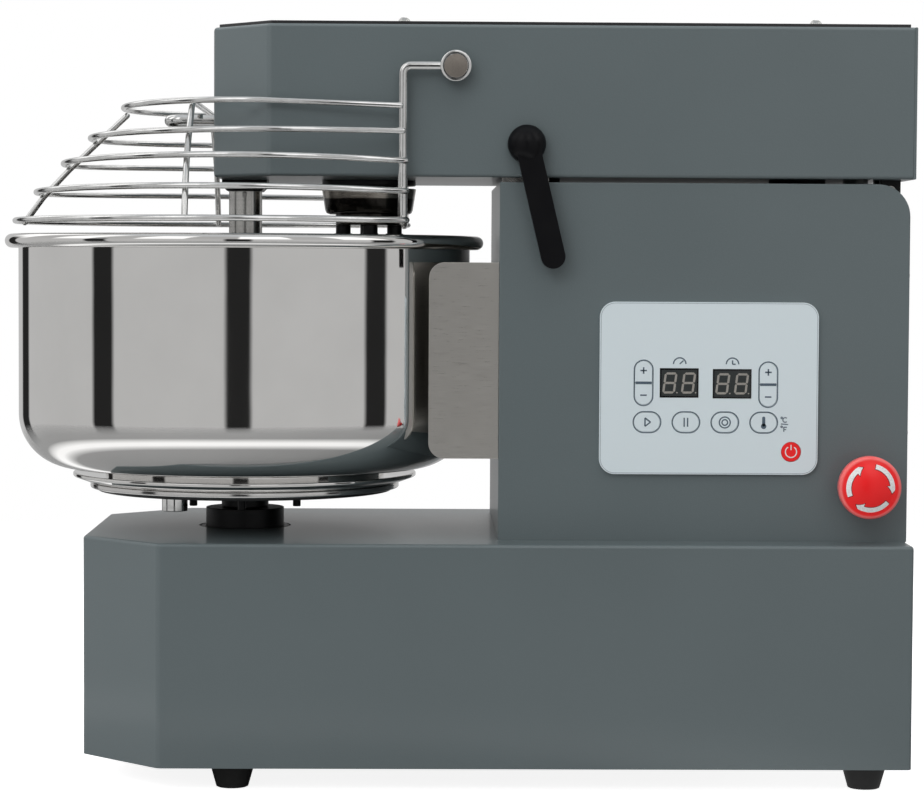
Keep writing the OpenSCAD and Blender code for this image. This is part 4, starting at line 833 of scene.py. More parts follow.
class MixerBowl(bpy.types.Operator):
    """Polished bowl with its rolled rim and stepped foot"""
    bl_idname = "mixer.bowl"
    bl_label = "Bowl"

    def execute(self, context):
        steps = context.scene.mixer_shape.turned_steps
        wall, corner, bead, seat = 151.5 * MM, 36 * MM, 4.6 * MM, 0.2 * MM
        bead_at = (wall + bead - seat, BOWL_Z1 - bead)
        meet = degrees(acos(1 - seat / bead))
        bend = BOWL_FLOOR + corner
        rise = bead_at[1] - bend
        rows = 12
        outside = arc((wall - corner, bend), corner, -90, 0, 28)
        outside += [(wall, bend + rise * k / rows) for k in range(1, rows)]
        bead_ring = arc(bead_at, bead, 180 + meet, 540, 34)
        inner = wall - BOWL_SHEET
        inside = [(inner, bead_at[1] + 0.4 * MM)]
        inside += [(inner, bend + rise * k / rows) for k in range(rows - 1, 0, -1)]
        inside += arc((wall - corner, bend), corner - BOWL_SHEET, 0, -90, 24)
        inside += [(0, BOWL_FLOOR + BOWL_SHEET)]
        profile = self.foot() + outside + bead_ring + inside
        mesh = shaded(lathe(profile, steps, (BOWL_X, 0)), 40)
        piece("bowl_pressing", mesh, "bowl_steel", "bowl_unit", "bowl_steel", "bowl")
        return {"FINISHED"}

    def foot(self):
        """Dish-shaped foot under the bowl and the ring that joins them."""
        plate, rim, ring = 103.5 * MM, 115.5 * MM, 94 * MM
        under = BOWL_Z0 + 4.3 * MM
        lip, dish = under + 2.5 * MM, BOWL_Z0 + 3 * MM
        return [(0, BOWL_Z0), (plate - 0.8 * MM, BOWL_Z0), (plate + 0.6 * MM, BOWL_Z0 + 0.25 * MM),
                (rim - 0.7 * MM, under - 0.1 * MM), (rim - 0.2 * MM, under + 0.2 * MM),
                (rim, under + 0.6 * MM), (rim, lip - 0.6 * MM), (rim - 0.2 * MM, lip - 0.2 * MM),
                (rim - 0.6 * MM, lip), (rim - 3 * MM, lip), (plate - 2 * MM, dish), (ring, dish),
                (ring, BOWL_FLOOR)]


class MixerTurntable(bpy.types.Operator):
    """Turntable, its shaft and pins, the release knob and the bearing's collar"""
    bl_idname = "mixer.turntable"
    bl_label = "Turntable"

    def execute(self, context):
        edge = context.scene.mixer_shape.edge_radius
        z0, z1 = low("bowl_turntable", 2), high("bowl_turntable", 2)
        step = z0 + 2 * MM
        rim, ring_inside, ring_outside, ring_edge = 104 * MM, 87 * MM, 99 * MM, 0.7 * MM
        profile = [(0, step), (ring_inside, step), (ring_inside, z0 + 0.2 * MM)]
        profile += arc((ring_outside - ring_edge, z0 + ring_edge), ring_edge, -90, 0, 4)
        profile += [(ring_outside, step), *rounded_side(rim, step, z1, 0.9 * MM, 4), (0, z1)]
        disc = shaded(lathe(profile, 160, (BOWL_X, 0)), 35)
        piece("turntable_disc", disc, "turntable_finish", "bowl_unit", "black_paint",
              "bowl_turntable")
        dressed("bowl_shaft", "black_casting", edge, 1.2 * MM)
        dressed("bowl_drive_pins", "black_casting", edge, 1.2 * MM)
        dressed("bowl_release_knob", "chrome_wire", edge, 1.2 * MM)
        dressed("bowl_bearing_housing", "black_casting", edge, 1.2 * MM)
        return {"FINISHED"}


# ---------- wire guard ----------

# Of each hoop, from the top one down, in millimetres: the distance of its front from the bowl's
# axis, its height above the bowl's rim, and how far it is bowed at its front and at its ends
HOOP_FRONT = (81.4, 103.4, 121.4, 139.4, 153.4)
HOOP_UP = (85.7, 65.6, 49.6, 29.9, 9.3)
HOOP_BOW_FRONT = (1.2, 1.6, 2.8, 2.2, 0.5)
HOOP_BOW_LEG = (4.2, 0, 2.9, 2.4, 0.2)
# Front arcs of the two hoops that run on in straight legs
LEGGED_HOOP_R = (108, 130)
HOOPS = len(HOOP_FRONT)
HOOP_CLEAR = 5.05 * MM
HOOP_OVER = 0.8 * MM
RIB_INSET = 4.35 * MM
RIB_X = BOWL_X - 28.9 * MM


class Hoop:
    """One hoop of the guard: a front arc, and straight legs where it doesn't reach round."""

    def __init__(self, index, leg_x):
        self.z = BOWL_Z1 + HOOP_UP[index] * MM
        self.bow_front, self.bow_leg = HOOP_BOW_FRONT[index] * MM, HOOP_BOW_LEG[index] * MM
        self.front = BOWL_X - HOOP_FRONT[index] * MM
        self.reach = reach = leg_x - self.front
        if index < len(LEGGED_HOOP_R):
            self.r = LEGGED_HOOP_R[index] * MM
        else:
            self.r = (reach ** 2 + GUARD_Y ** 2 - HOOP_CLEAR ** 2) / (2 * (reach - HOOP_CLEAR))
        self.x = self.front + self.r
        away = hypot(leg_x - self.x, GUARD_Y)
        inner = self.r - HOOP_CLEAR
        self.leg = sqrt(away ** 2 - inner ** 2) if away > inner + 0.01 * MM else 0
        self.end = atan2(GUARD_Y, leg_x - self.x) + atan2(self.leg, inner)

    def points(self):
        """The hoop's run, from the end on one side wire to the end on the other."""
        turn = self.end - (0 if self.leg else asin(HOOP_OVER / self.r))
        steps = 96
        angles = [turn + (2 * pi - 2 * turn) * i / steps for i in range(steps + 1)]
        curve = [(self.x + self.r * cos(a), self.r * sin(a)) for a in angles]
        if self.leg:
            length = self.leg + HOOP_OVER
            first = (curve[0][0] + length * sin(turn), curve[0][1] - length * cos(turn))
            curve = [first, *curve, (first[0], -first[1])]
        return [Vector((x, y, self.level(x))) for x, y in curve]

    def level(self, x):
        """Height at x: a hoop is bowed, lower at its front and where it meets the side wires."""
        along = clamp((x - self.front) / self.reach)
        return self.z - self.bow_front * (1 - along) ** 4 - self.bow_leg * along ** 3

    def half_width(self, x):
        return sqrt(self.r ** 2 - (x - self.x) ** 2)


# Share of the wire's radius at each point of a rounded tip, from the end inwards
TIP_SHARE = (0.02, 0.25, 0.565, 0.84, 1.0)
TIP_ANGLES = (0.25, 0.6, 1.0, 1.57)


def with_round_tips(points, radius):
    """The run of points with closely spaced points at each end, for a rounded tip."""
    tips = []
    for first, second in ((points[0], points[1]), (points[-1], points[-2])):
        way = (second - first).normalized()
        tips.append([first + way * radius * (1 - cos(a)) for a in TIP_ANGLES])
    return [points[0], *tips[0], *points[1:-1], *reversed(tips[1]), points[-1]]


def tip_share(i, count):
    return TIP_SHARE[min(i, count - 1 - i, len(TIP_SHARE) - 1)]


class MixerGuard(bpy.types.Operator):
    """Wire guard: five hoops and two ribs on two side wires, and the bosses they turn on"""
    bl_idname = "mixer.guard"
    bl_label = "Wire guard"

    def execute(self, context):
        shape = context.scene.mixer_shape
        self.sides, self.maker = shape.wire_sides, make_wire_maker()
        wire, thick = shape.wire_diameter, shape.frame_wire_diameter
        pivot = Vector((mid("guard_pivot_pins", 0), 0, mid("guard_pivot_pins", 2)))
        leg_x = pivot.x - 33.5 * MM
        hoops = [Hoop(i, leg_x) for i in range(HOOPS)]
        meshes = [self.wires([hoop.points() for hoop in hoops], wire),
                  self.wires(self.side_wires(pivot, leg_x, hoops[-1]), thick)]
        meshes += self.bosses(pivot)
        piece("guard_hoops", shaded(joined(meshes), 40), "chrome_wire", "guard", "chrome_wire",
              "wire_guard")
        ribs = self.wires([self.front_rib(hoops), self.mid_rib(hoops)], wire)
        piece("guard_cross_wires", shaded(ribs, 40), "chrome_wire", "guard", "chrome_wire",
              "guard_ribs")
        dressed("guard_pivot_pins", "machined_steel", 0.3 * MM, 1 * MM, 2)
        self.boss_faces(pivot)
        return {"FINISHED"}

    def wires(self, runs, diameter):
        """Round wires with rounded tips along the given runs, as one mesh."""
        paths = [(with_round_tips(run, diameter / 2), False) for run in runs]
        return self.maker.run(path_mesh(paths, tip_share), diameter=diameter, sides=self.sides,
                              finish=FINISHES["chrome_wire"])

    def side_wires(self, pivot, leg_x, lowest):
        """Each runs forwards from its boss, round a bend and down past the lowest hoop."""
        bend = 5 * MM
        corner = arc((leg_x + bend, pivot.z - bend), bend, 90, 180, 10)
        run = [(pivot.x, pivot.z), (pivot.x - 9 * MM, pivot.z), *corner,
               (leg_x, lowest.level(leg_x) - 3 * MM)]
        return [[Vector((x, y, z)) for x, z in run] for y in (-GUARD_Y, GUARD_Y)]

    def on_boss(self, profile, pivot, sign, closed=False):
        """A turned form whose axis is the pivot's, pointing away from the machine."""
        turn = Matrix.Rotation(-sign * pi / 2, 4, "X")
        place = Matrix.Translation((pivot.x, sign * GUARD_Y, pivot.z))
        return moved(lathe(profile, 48, closed=closed), place @ turn)

    def bosses(self, pivot):
        """Two discs, bored for the pins on their inner sides and sunk on their outer ones."""
        half, bore, depth = 4 * MM, 4.05 * MM, 2 * MM
        profile = [(bore, -half), *rounded_side(10 * MM, -half, half, 0.8 * MM, 3),
                   (7.6 * MM, half), (7.2 * MM, half - 0.4 * MM), (0, half - 0.4 * MM),
                   (0, depth), (bore, depth)]
        return [self.on_boss(profile, pivot, sign, closed=True) for sign in (-1, 1)]

    def boss_faces(self, pivot):
        """Dull blind discs set in the two bosses."""
        profile = [(0, 3 * MM), (7.3 * MM, 3 * MM), (7.3 * MM, 3.7 * MM), (7 * MM, 3.85 * MM),
                   (0, 3.85 * MM)]
        faces = joined([self.on_boss(profile, pivot, sign) for sign in (-1, 1)])
        piece("boss_discs", shaded(faces, 35), "boss_face", "guard", "machined_steel")

    def front_rib(self, hoops):
        """The wire in the middle plane, behind the fronts of the hoops."""
        fronts = [Vector((hoop.front, hoop.level(hoop.front))) for hoop in hoops]
        run = []
        for i, front in enumerate(fronts):
            way = (fronts[min(i + 1, HOOPS - 1)] - fronts[max(i - 1, 0)]).normalized()
            spot = front + RIB_INSET * Vector((-way.y, way.x))
            run.append(Vector((spot.x, 0, spot.y)))
        return run

    def mid_rib(self, hoops):
        """The wire across the guard, inside the hoops and under the top one."""
        corners = [Vector((hoop.half_width(RIB_X), hoop.level(RIB_X))) for hoop in reversed(hoops)]
        side = []
        for i in range(HOOPS - 1):
            before = corners[i] - corners[i - 1] if i else corners[1] - corners[0]
            way = (before.normalized() + (corners[i + 1] - corners[i]).normalized()).normalized()
            side.append(corners[i] + RIB_INSET * Vector((-way.y, way.x)))
        rise = corners[-1] - corners[-2]
        top = corners[-1] - Vector((RIB_INSET * rise.length / rise.y, 0))
        slope = (top - side[-1]).normalized()
        reach, steps = 9 * MM, 8
        start, end = top - reach * slope, top - Vector((reach, 0))
        for k in range(steps + 1):
            t = k / steps
            side.append((1 - t) ** 2 * start + 2 * t * (1 - t) * top + t * t * end)
        return ([Vector((RIB_X, p.x, p.y)) for p in side]
                + [Vector((RIB_X, -p.x, p.y)) for p in reversed(side)])


# ---------- spiral, hub and breaker bar ----------

# Between the rod's underside and the bowl's floor
SPIRAL_GAP = 8 * MM


class MixerSpiral(bpy.types.Operator):
    """Spiral rod with its disc, and the turned hub above it"""
    bl_idname = "mixer.spiral"
    bl_label = "Spiral"

    def execute(self, context):
        edge = context.scene.mixer_shape.edge_radius
        top, disc_r, disc_h, disc_edge = high("spiral_hook", 2), 25 * MM, 8 * MM, 0.8 * MM
        under = top - disc_h
        rod = 8 * MM
        end_z = BOWL_FLOOR + BOWL_SHEET + SPIRAL_GAP + rod
        steps = 150
        run = [self.rod_point(i / steps, under, end_z) for i in range(steps + 1)]
        disc = [(0, under), *rounded_side(disc_r, under, top, disc_edge, 3), (0, top)]
        meshes = [make_wire_maker().run(path_mesh([(run, False)], self.tip), diameter=2 * rod,
                                        sides=28, finish=FINISHES["stainless"]),
                  lathe(disc, 64, (SPIRAL_X, 0))]
        piece("spiral_rod", shaded(joined(meshes), 35), "spiral_steel", "spiral", "stainless",
              "spiral_hook")
        # The hub's lighter upper band is a painted reflection.
        dressed("spiral_shaft", "hub_finish", edge, 1.2 * MM)
        # The bolts get the dark blackened finish as painted shade, for the deep shade they sit in
        # under the head.
        dressed("spiral_bolts", "black_casting", 0.4 * MM, 1 * MM, 2)
        dressed("spiral_housing", "black_casting", edge, 1.2 * MM)
        return {"FINISHED"}

    def rod_point(self, t, start_z, end_z):
        """The rod swings out to its reach, winds down, and comes back in at its end."""
        reach, turns = 53.5 * MM, 1.3
        radius = reach * ease(clamp((t + 0.03) / 0.25)) - reach * 0.4 * ease(clamp((t - 0.7) / 0.3))
        level = start_z - (start_z - end_z) * ease(clamp(t / 0.92))
        angle = pi - 2 * pi * turns * clamp((t - 0.06) / 0.94)
        return Vector((SPIRAL_X + radius * cos(angle), radius * sin(angle), level))

    @staticmethod
    def tip(i, count):
        """The rod's thickness, rounded over its last stretch."""
        past = (i / (count - 1) - 0.97) / 0.03
        return sqrt(max(0.02, 1 - past ** 2)) if past > 0 else 1.0


class MixerBreaker(bpy.types.Operator):
    """Breaker bar with its tip, cross pin and hole, and the block that holds it"""
    bl_idname = "mixer.breaker"
    bl_label = "Breaker bar"

    def execute(self, context):
        dressed("breaker_bar", "bar_steel", 0.5 * MM, 1.5 * MM)
        dressed("breaker_mount", "black_plastic", 0.6 * MM, 1.5 * MM)
        dressed("front_handle", "chrome_wire", 0.3 * MM, 1.5 * MM)
        return {"FINISHED"}


# ---------- panel, displays and keys ----------

KEY_ROW = {"start_key": -39.6, "pause_key": -14.6, "mode_key": 10.4, "heat_key": 35.4}
KEY_ROW_V = -21.8
PILLS = {"speed": (-42, 3.4), "timer": (38.1, 2.6)}
DISPLAYS = ((-19.1, 3.4), (14.9, 3.0))
POWER_AT = (53.2, -40.6)
PANEL_W, PANEL_H, BORDER_INSET = 140.5, 110.6, 0.8


def rounded_box(width, height, r, steps):
    """Closed outline with rounded corners, centred on the origin, in millimetres."""
    corners = ((width / 2 - r, height / 2 - r, 0), (r - width / 2, height / 2 - r, 90),
               (r - width / 2, r - height / 2, 180), (width / 2 - r, r - height / 2, 270))
    return [p for x, y, a in corners for p in arc((x, y), r, a, a + 90, steps)]


def stadium(width, height, grow=0):
    """Closed outline with round ends, grown on all sides."""
    w, h = width + 2 * grow, height + 2 * grow
    return rounded_box(w, h, min(w, h) / 2, 12)


def sign_points(points, at):
    return [Vector(((x + at[0]) * MM, (y + at[1]) * MM, 0)) for x, y in points]


def flat_sign(outlines, height):
    """Filled outlines [(points, at)], as thin slabs on the x-y plane."""
    bm = bmesh.new()
    for points, at in outlines:
        face = bm.faces.new([bm.verts.new(p) for p in sign_points(points, at)])
        face.normal_update()
        if face.normal.z < 0:
            face.normal_flip()
        raised = bmesh.ops.extrude_face_region(bm, geom=[face])["geom"]
        bmesh.ops.translate(bm, vec=(0, 0, height),
                            verts=[v for v in raised if isinstance(v, bmesh.types.BMVert)])
    bmesh.ops.recalc_face_normals(bm, faces=bm.faces)
    return from_bmesh("sign", bm)


class Printer:
    """Makes the printed signs: lines by the line maker, filled forms as thin slabs."""

    def __init__(self, height):
        self.maker = make_line_maker()
        self.height = height
        self.place = facing(PANEL_X, PANEL_Y, PANEL_Z)

    def lines(self, runs, width, finish):
        """Lines along [(points, at, closed)], width in millimetres."""
        paths = [(sign_points(points, at), closed) for points, at, closed in runs]
        return self.maker.run(path_mesh(paths), width=width * MM, height=2 * self.height,
                              finish=FINISHES[finish])

    def put(self, name, meshes, finish, body, slot):
        """The signs as one piece, on the panel's front."""
        piece(name, moved(joined(meshes), self.place), finish, body, slot)


class MixerPanel(bpy.types.Operator):
    """Panel film with its keys, their outlines and the signs on them"""
    bl_idname = "mixer.panel"
    bl_label = "Panel and keys"

    def execute(self, context):
        shape = context.scene.mixer_shape
        dressed("control_panel", "white_panel", 0.45 * MM, 1.2 * MM)
        for node in ("speed_up_key", "speed_down_key", "timer_up_key", "timer_down_key",
                     "start_key", "pause_key", "mode_key", "heat_key"):
            dressed(node, "key_white", 0.3 * MM, 1 * MM, 2)
        dressed("power_key", "red_plastic", 0.5 * MM, 1 * MM)
        printer = Printer(shape.print_height)
        outline = [(stadium(11.5, 28.6, 0.35), spot, True) for spot in PILLS.values()]
        outline += [(stadium(17.2, 12.9, 0.35), (u, KEY_ROW_V), True) for u in KEY_ROW.values()]
        # A faint dark line just inside the panel's edge: painted shade along the edge of the raised
        # panel.
        border = rounded_box(PANEL_W - 2 * BORDER_INSET, PANEL_H - 2 * BORDER_INSET, 9.2, 10)
        printer.put("key_outlines", [printer.lines(outline, 0.62, "sign_ink")], "sign_ink",
                    "base", "white_panel")
        printer.put("panel_border", [printer.lines([(border, (0, 0), True)], 0.35, "faint_ink")],
                    "faint_ink", "base", "white_panel")
        self.key_signs(printer)
        self.panel_signs(printer)
        return {"FINISHED"}

    def key_signs(self, printer):
        """The sign on each key, on the key's own body."""
        for name, (u, v) in PILLS.items():
            for way, sign in (("up", 1), ("down", -1)):
                bars = [([(-2.1, 0), (2.1, 0)], (u, v + sign * 7.9), False)]
                if sign > 0:
                    bars.append(([(0, -2.1), (0, 2.1)], (u, v + 7.9), False))
                edge = [([(-5.2, 0), (5.2, 0)], (u, v + sign * 0.45), False)]
                signs = [printer.lines(bars, 0.95, "sign_ink"),
                         printer.lines(edge, 0.85, "sign_ink")]
                printer.put(f"{name}_{way}_sign", signs, "sign_ink", f"{name}_{way}_button",
                            "key_white")
        u = KEY_ROW["start_key"]
        tips = [(-1.3, 2.7), (2.3, 0), (-1.3, -2.7)]
        play = [([a, b], (u, KEY_ROW_V), False) for a, b in zip(tips, tips[1:] + tips[:1])]
        printer.put("start_sign", [printer.lines(play, 0.9, "sign_ink")], "sign_ink",
                    "start_button", "key_white")
        u = KEY_ROW["pause_key"]
        bars = [([(x, -2.9), (x, 2.9)], (u, KEY_ROW_V), False) for x in (-1.1, 1.1)]
        printer.put("pause_sign", [printer.lines(bars, 0.9, "sign_ink")], "sign_ink",
                    "pause_button", "key_white")
        u = KEY_ROW["mode_key"]
        rings = [(arc((0, 0), r, 0, 350, 35), (u, KEY_ROW_V), True) for r in (3.5, 1.8)]
        printer.put("mode_sign", [printer.lines(rings, 0.85, "sign_ink")], "sign_ink",
                    "mode_button", "key_white")
        u = KEY_ROW["heat_key"]
        bulb = [(stadium(2.0, 6.4), (u, KEY_ROW_V + 0.7)),
                (arc((0, 0), 1.75, 0, 345, 23), (u, KEY_ROW_V - 2.4))]
        printer.put("heat_sign", [flat_sign(bulb, printer.height)], "sign_ink",
                    "heat_button", "key_white")
        broken = [(arc((0, 0), 3.6, 122, 418, 30), POWER_AT, False),
                  ([(0, 1.2), (0, 4.6)], POWER_AT, False)]
        printer.put("power_sign", [printer.lines(broken, 0.75, "white_ink")], "white_ink",
                    "power_button", "red_plastic")

    def panel_signs(self, printer):
        """Gauge and clock above the displays, and the unit marks beside the heat key."""
        u, v = -18.9, 15.6
        gauge = [(arc((0, 0), 4.0, 0, 180, 20), (u, v), False),
                 ([(0, 0), (2.4, 2.2)], (u, v), False)]
        u, v = 15, 15.6
        clock = [(arc((0, 0), 4.0, 0, 180, 20), (u, v), False),
                 ([(0, 2.5), (0, 0)], (u, v), False), ([(0, 0), (2, 0)], (u, v), False)]
        printer.put("display_signs", [printer.lines(gauge + clock, 0.85, "sign_ink")], "sign_ink",
                    "base", "white_panel")
        u, v = 48.7, -23
        marks = [
            (arc((-1.7, 4.3), 0.5, 0, 330, 11), (u, v), True),
            (arc((0.5, 3), 1.5, 45, 315, 14), (u, v), False),
            ([(-2.2, 0.4), (2.5, 0)], (u, v), False),
            (arc((-1.7, -1.4), 0.5, 0, 330, 11), (u, v), True),
            ([(-0.3, -4.7), (-0.3, -1.7)], (u, v), False),
            ([(-0.6, -1.7), (1.7, -1.7)], (u, v), False),
            ([(-0.3, -3.2), (1.2, -3.2)], (u, v), False),
        ]
        printer.put("unit_marks", [printer.lines(marks, 0.75, "pale_ink")], "pale_ink",
                    "base", "white_panel")


class MixerDisplays(bpy.types.Operator):
    """Two display windows with unlit two-digit figures"""
    bl_idname = "mixer.displays"
    bl_label = "Displays"

    def execute(self, context):
        height = context.scene.mixer_shape.print_height
        outlines = []
        for u, v in DISPLAYS:
            for shift in (-6.0, 6.0):
                outlines += [(points, (u + shift, v)) for points in self.figure()]
                outlines.append((arc((4.6, -6.2), 0.5, 0, 330, 11), (u + shift, v)))
        front = low("display_modules", 1)
        wide = (high("display_modules", 0) - low("display_modules", 0)) / MM
        tall = (high("display_modules", 2) - low("display_modules", 2)) / MM
        half_w = (wide - (DISPLAYS[1][0] - DISPLAYS[0][0])) / 2 - 0.9
        half_h = (tall - (DISPLAYS[0][1] - DISPLAYS[1][1])) / 2 - 0.9
        fields = [([(-half_w, -half_h), (half_w, -half_h), (half_w, half_h), (-half_w, half_h)], spot)
                  for spot in DISPLAYS]
        mesh = moved(flat_sign(fields, height / 2), facing(PANEL_X, front, PANEL_Z))
        piece("display_fields", mesh, "display_field", "base", "display_black")
        mesh = moved(flat_sign(outlines, height), facing(PANEL_X, front, PANEL_Z))
        piece("display_figures", mesh, "unlit_segment", "base", "display_black")
        dressed("display_modules", "display_black", 0.2 * MM, 1 * MM, 2)
        return {"FINISHED"}

    def figure(self):
        """The seven segments of one digit, leaning like a real one."""
        half_w, half_h, t = 3.4, 6.1, 0.7
        gap = 0.14
        lean = 0.13

        def bar(x0, y0, x1, y1):
            way = Vector((x1 - x0, y1 - y0)).normalized()
            side = Vector((-way.y, way.x)) * t
            a, b = Vector((x0, y0)) + way * gap, Vector((x1, y1)) - way * gap
            tip = way * t
            ring = [a, a + tip + side, b - tip + side, b, b - tip - side, a + tip - side]
            return [(p.x + lean * p.y, p.y) for p in ring]

        left, right = -half_w, half_w
        return [bar(left, half_h, right, half_h), bar(left, 0, right, 0),
                bar(left, -half_h, right, -half_h),
                bar(left, 0, left, half_h), bar(right, 0, right, half_h),
                bar(left, -half_h, left, 0), bar(right, -half_h, right, 0)]


# ---------- emergency stop, lock lever ----------

class MixerStop(bpy.types.Operator):
    """Emergency stop: mushroom head with its turning arrows, stem and collar"""
    bl_idname = "mixer.stop"
    bl_label = "Emergency stop"

    def execute(self, context):
        height = context.scene.mixer_shape.print_height
        front = low("estop_knob", 1)
        ball = dome_radius(STOP_R, 5 * MM)
        back, neck_r, lip = -20.5 * MM, 12 * MM, 2.4 * MM

        def crown(radius):
            return sqrt(ball * ball - radius * radius) - ball

        profile = [(0, back), (neck_r, back), (neck_r, -14 * MM), (17 * MM, -14 * MM)]
        profile += [(17.6 * MM, -13.9 * MM), (19.6 * MM, -11.4 * MM), (STOP_R, -10.4 * MM)]
        edge_z = crown(STOP_R - lip) - lip * 0.75
        profile += [(STOP_R, edge_z - 1 * MM)] + arc((STOP_R - lip, edge_z), lip, 0, 78, 8)
        inner = STOP_R - lip * 1.25
        profile += [(inner * k / 10, crown(inner * k / 10)) for k in range(9, -1, -1)]
        place = facing(STOP_X, front, STOP_Z)
        cap = moved(shaded(lathe(profile, 96), 40), place)
        piece("stop_mushroom", cap, "stop_red", "estop_cap", "red_plastic", "estop_knob")
        turns = (0, 117, 235)
        arrows = joined([self.arrow(turn, crown, height, 0) for turn in turns])
        piece("stop_arrows", moved(arrows, place), "white_ink", "estop_cap", "red_plastic")
        # A darker red border, wider than each arrow, under it: painted shade of the recess round the
        # arrows.
        edges = joined([self.arrow(turn, crown, height / 2, 0.5) for turn in turns])
        piece("stop_arrow_edges", moved(edges, place), "dark_red", "estop_cap", "red_plastic")
        dressed("estop_body", "black_plastic", 0.5 * MM, 1.2 * MM)
        return {"FINISHED"}

    def arrow(self, turn, crown, height, grow):
        """One curved arrow on the crown, clockwise, starting a little past the top."""
        mid_r, half, head = 14, 1.5 + grow, 3.3 + 1.7 * grow
        more = degrees(grow / mid_r)
        start, neck, tip = 13 - more, 83.5 - more, 103.5 + 1.6 * more
        rows = [(start + (neck - start) * i / 18, mid_r - half, mid_r + half) for i in range(19)]
        for i in range(7):
            reach = head * (1 - i / 6) + 0.02
            rows.append((neck + (tip - neck) * i / 6, mid_r - reach, mid_r + reach))
        bm = bmesh.new()
        grid = []
        for along, inner, outer in rows:
            a = radians(90 - along - turn)
            ring = []
            for k in range(5):
                radius = (inner + (outer - inner) * k / 4) * MM
                ring.append((radius * cos(a), radius * sin(a), crown(radius)))
            grid.append([(bm.verts.new((x, y, z - 0.1 * MM)), bm.verts.new((x, y, z + height)))
                         for x, y, z in ring])
        for first, second in zip(grid, grid[1:]):
            for k in range(4):
                for level in (0, 1):
                    bm.faces.new([first[k][level], first[k + 1][level],
                                  second[k + 1][level], second[k][level]])
            for k in (0, 4):
                bm.faces.new([first[k][0], first[k][1], second[k][1], second[k][0]])
        for ring in (grid[0], grid[-1]):
            for k in range(4):
                bm.faces.new([ring[k][0], ring[k][1], ring[k + 1][1], ring[k + 1][0]])
        bmesh.ops.recalc_face_normals(bm, faces=bm.faces)
        return from_bmesh("arrow", bm)


class MixerLever(bpy.types.Operator):
    """Head lock's lever, with its lug, the hinges and the rest pads"""
    bl_idname = "mixer.lever"
    bl_label = "Lock lever and hinges"

    def execute(self, context):
        dressed("lock_lever", "black_plastic", 1.1 * MM, 2.5 * MM)
        dressed("latch_lug", "machined_steel", 0.5 * MM, 2 * MM)
        for node in ("hinge_brackets", "head_hinge_leaves"):
            dressed(node, "black_casting", 0.5 * MM, 2 * MM)
        return {"FINISHED"}


# ---------- screws, feet and inner parts ----------

def dome_screw(head_d, head_h):
    """Dome head with a hexagon socket, standing on z = 0."""
    r = head_d / 2
    ball = dome_radius(r, head_h)
    socket = r * 0.46

    def crown(radius):
        return head_h - ball + sqrt(ball * ball - radius ** 2)

    profile = [(0, -1 * MM), (r * 0.6, -1 * MM), (r * 0.6, 0), (r, 0)]
    profile += [(r * k / 10, crown(r * k / 10)) for k in range(9, 4, -1)]
    top = crown(socket)
    outer = lathe(profile + [(socket, top)], 24)
    bm = bmesh.new()
    bm.from_mesh(outer)
    bpy.data.meshes.remove(outer)
    rim = [edge for edge in bm.edges if edge.is_boundary]
    ring = bmesh.ops.extrude_edge_only(bm, edges=rim)["geom"]
    inner = [v for v in ring if isinstance(v, bmesh.types.BMVert)]
    for vertex in inner:
        angle = atan2(vertex.co.y, vertex.co.x)
        flat = cos(pi / 6) / cos((angle + pi / 6) % (pi / 3) - pi / 6)
        vertex.co = Vector((socket * flat * cos(angle), socket * flat * sin(angle), top - 0.02 * MM))
    rim = [edge for edge in bm.edges if edge.is_boundary]
    ring = bmesh.ops.extrude_edge_only(bm, edges=rim)["geom"]
    inner = [v for v in ring if isinstance(v, bmesh.types.BMVert)]
    bmesh.ops.translate(bm, verts=inner, vec=(0, 0, -head_h * 0.6))
    bmesh.ops.contextual_create(bm, geom=[edge for edge in bm.edges if edge.is_boundary])
    bmesh.ops.recalc_face_normals(bm, faces=bm.faces)
    return shaded(from_bmesh("screw", bm), 35)


def solid_middles(node):
    """Middle of each separate solid in a CAD node, sorted."""
    bm = solid_copy(node)
    middles, left = [], set(bm.verts)
    while left:
        stack, group = [left.pop()], []
        while stack:
            vertex = stack.pop()
            group.append(vertex.co.copy())
            for edge in vertex.link_edges:
                other = edge.other_vert(vertex)
                if other in left:
                    left.remove(other)
                    stack.append(other)
        middles.append(tuple(
            (min(p[i] for p in group) + max(p[i] for p in group)) / 2 for i in range(3)))
    bm.free()
    return sorted(middles)


class MixerScrews(bpy.types.Operator):
    """Dome screws of the lid and of the rear cover"""
    bl_idname = "mixer.screws"
    bl_label = "Screws"

    def execute(self, context):
        lid = high("head_lid", 2)
        places = [(x, y, lid) for x, y, _ in solid_middles("head_lid_screws")]
        mesh = stamped("lid_screws", dome_screw(8 * MM, 3 * MM),
                       [(place, (0, 0, 1)) for place in places], "bright_screws")
        piece("lid_dome_screws", mesh, "bright_screws", "head", "bright_screws", "head_lid_screws")
        cover = high("rear_cover", 0)
        places = [(cover, y, z) for _, y, z in solid_middles("rear_cover_screws")]
        mesh = stamped("cover_screws", dome_screw(7.4 * MM, 2.3 * MM),
                       [(place, (1, 0, 0)) for place in places], "bright_screws")
        piece("cover_dome_screws", mesh, "bright_screws", "base", "bright_screws",
              "rear_cover_screws")
        return {"FINISHED"}


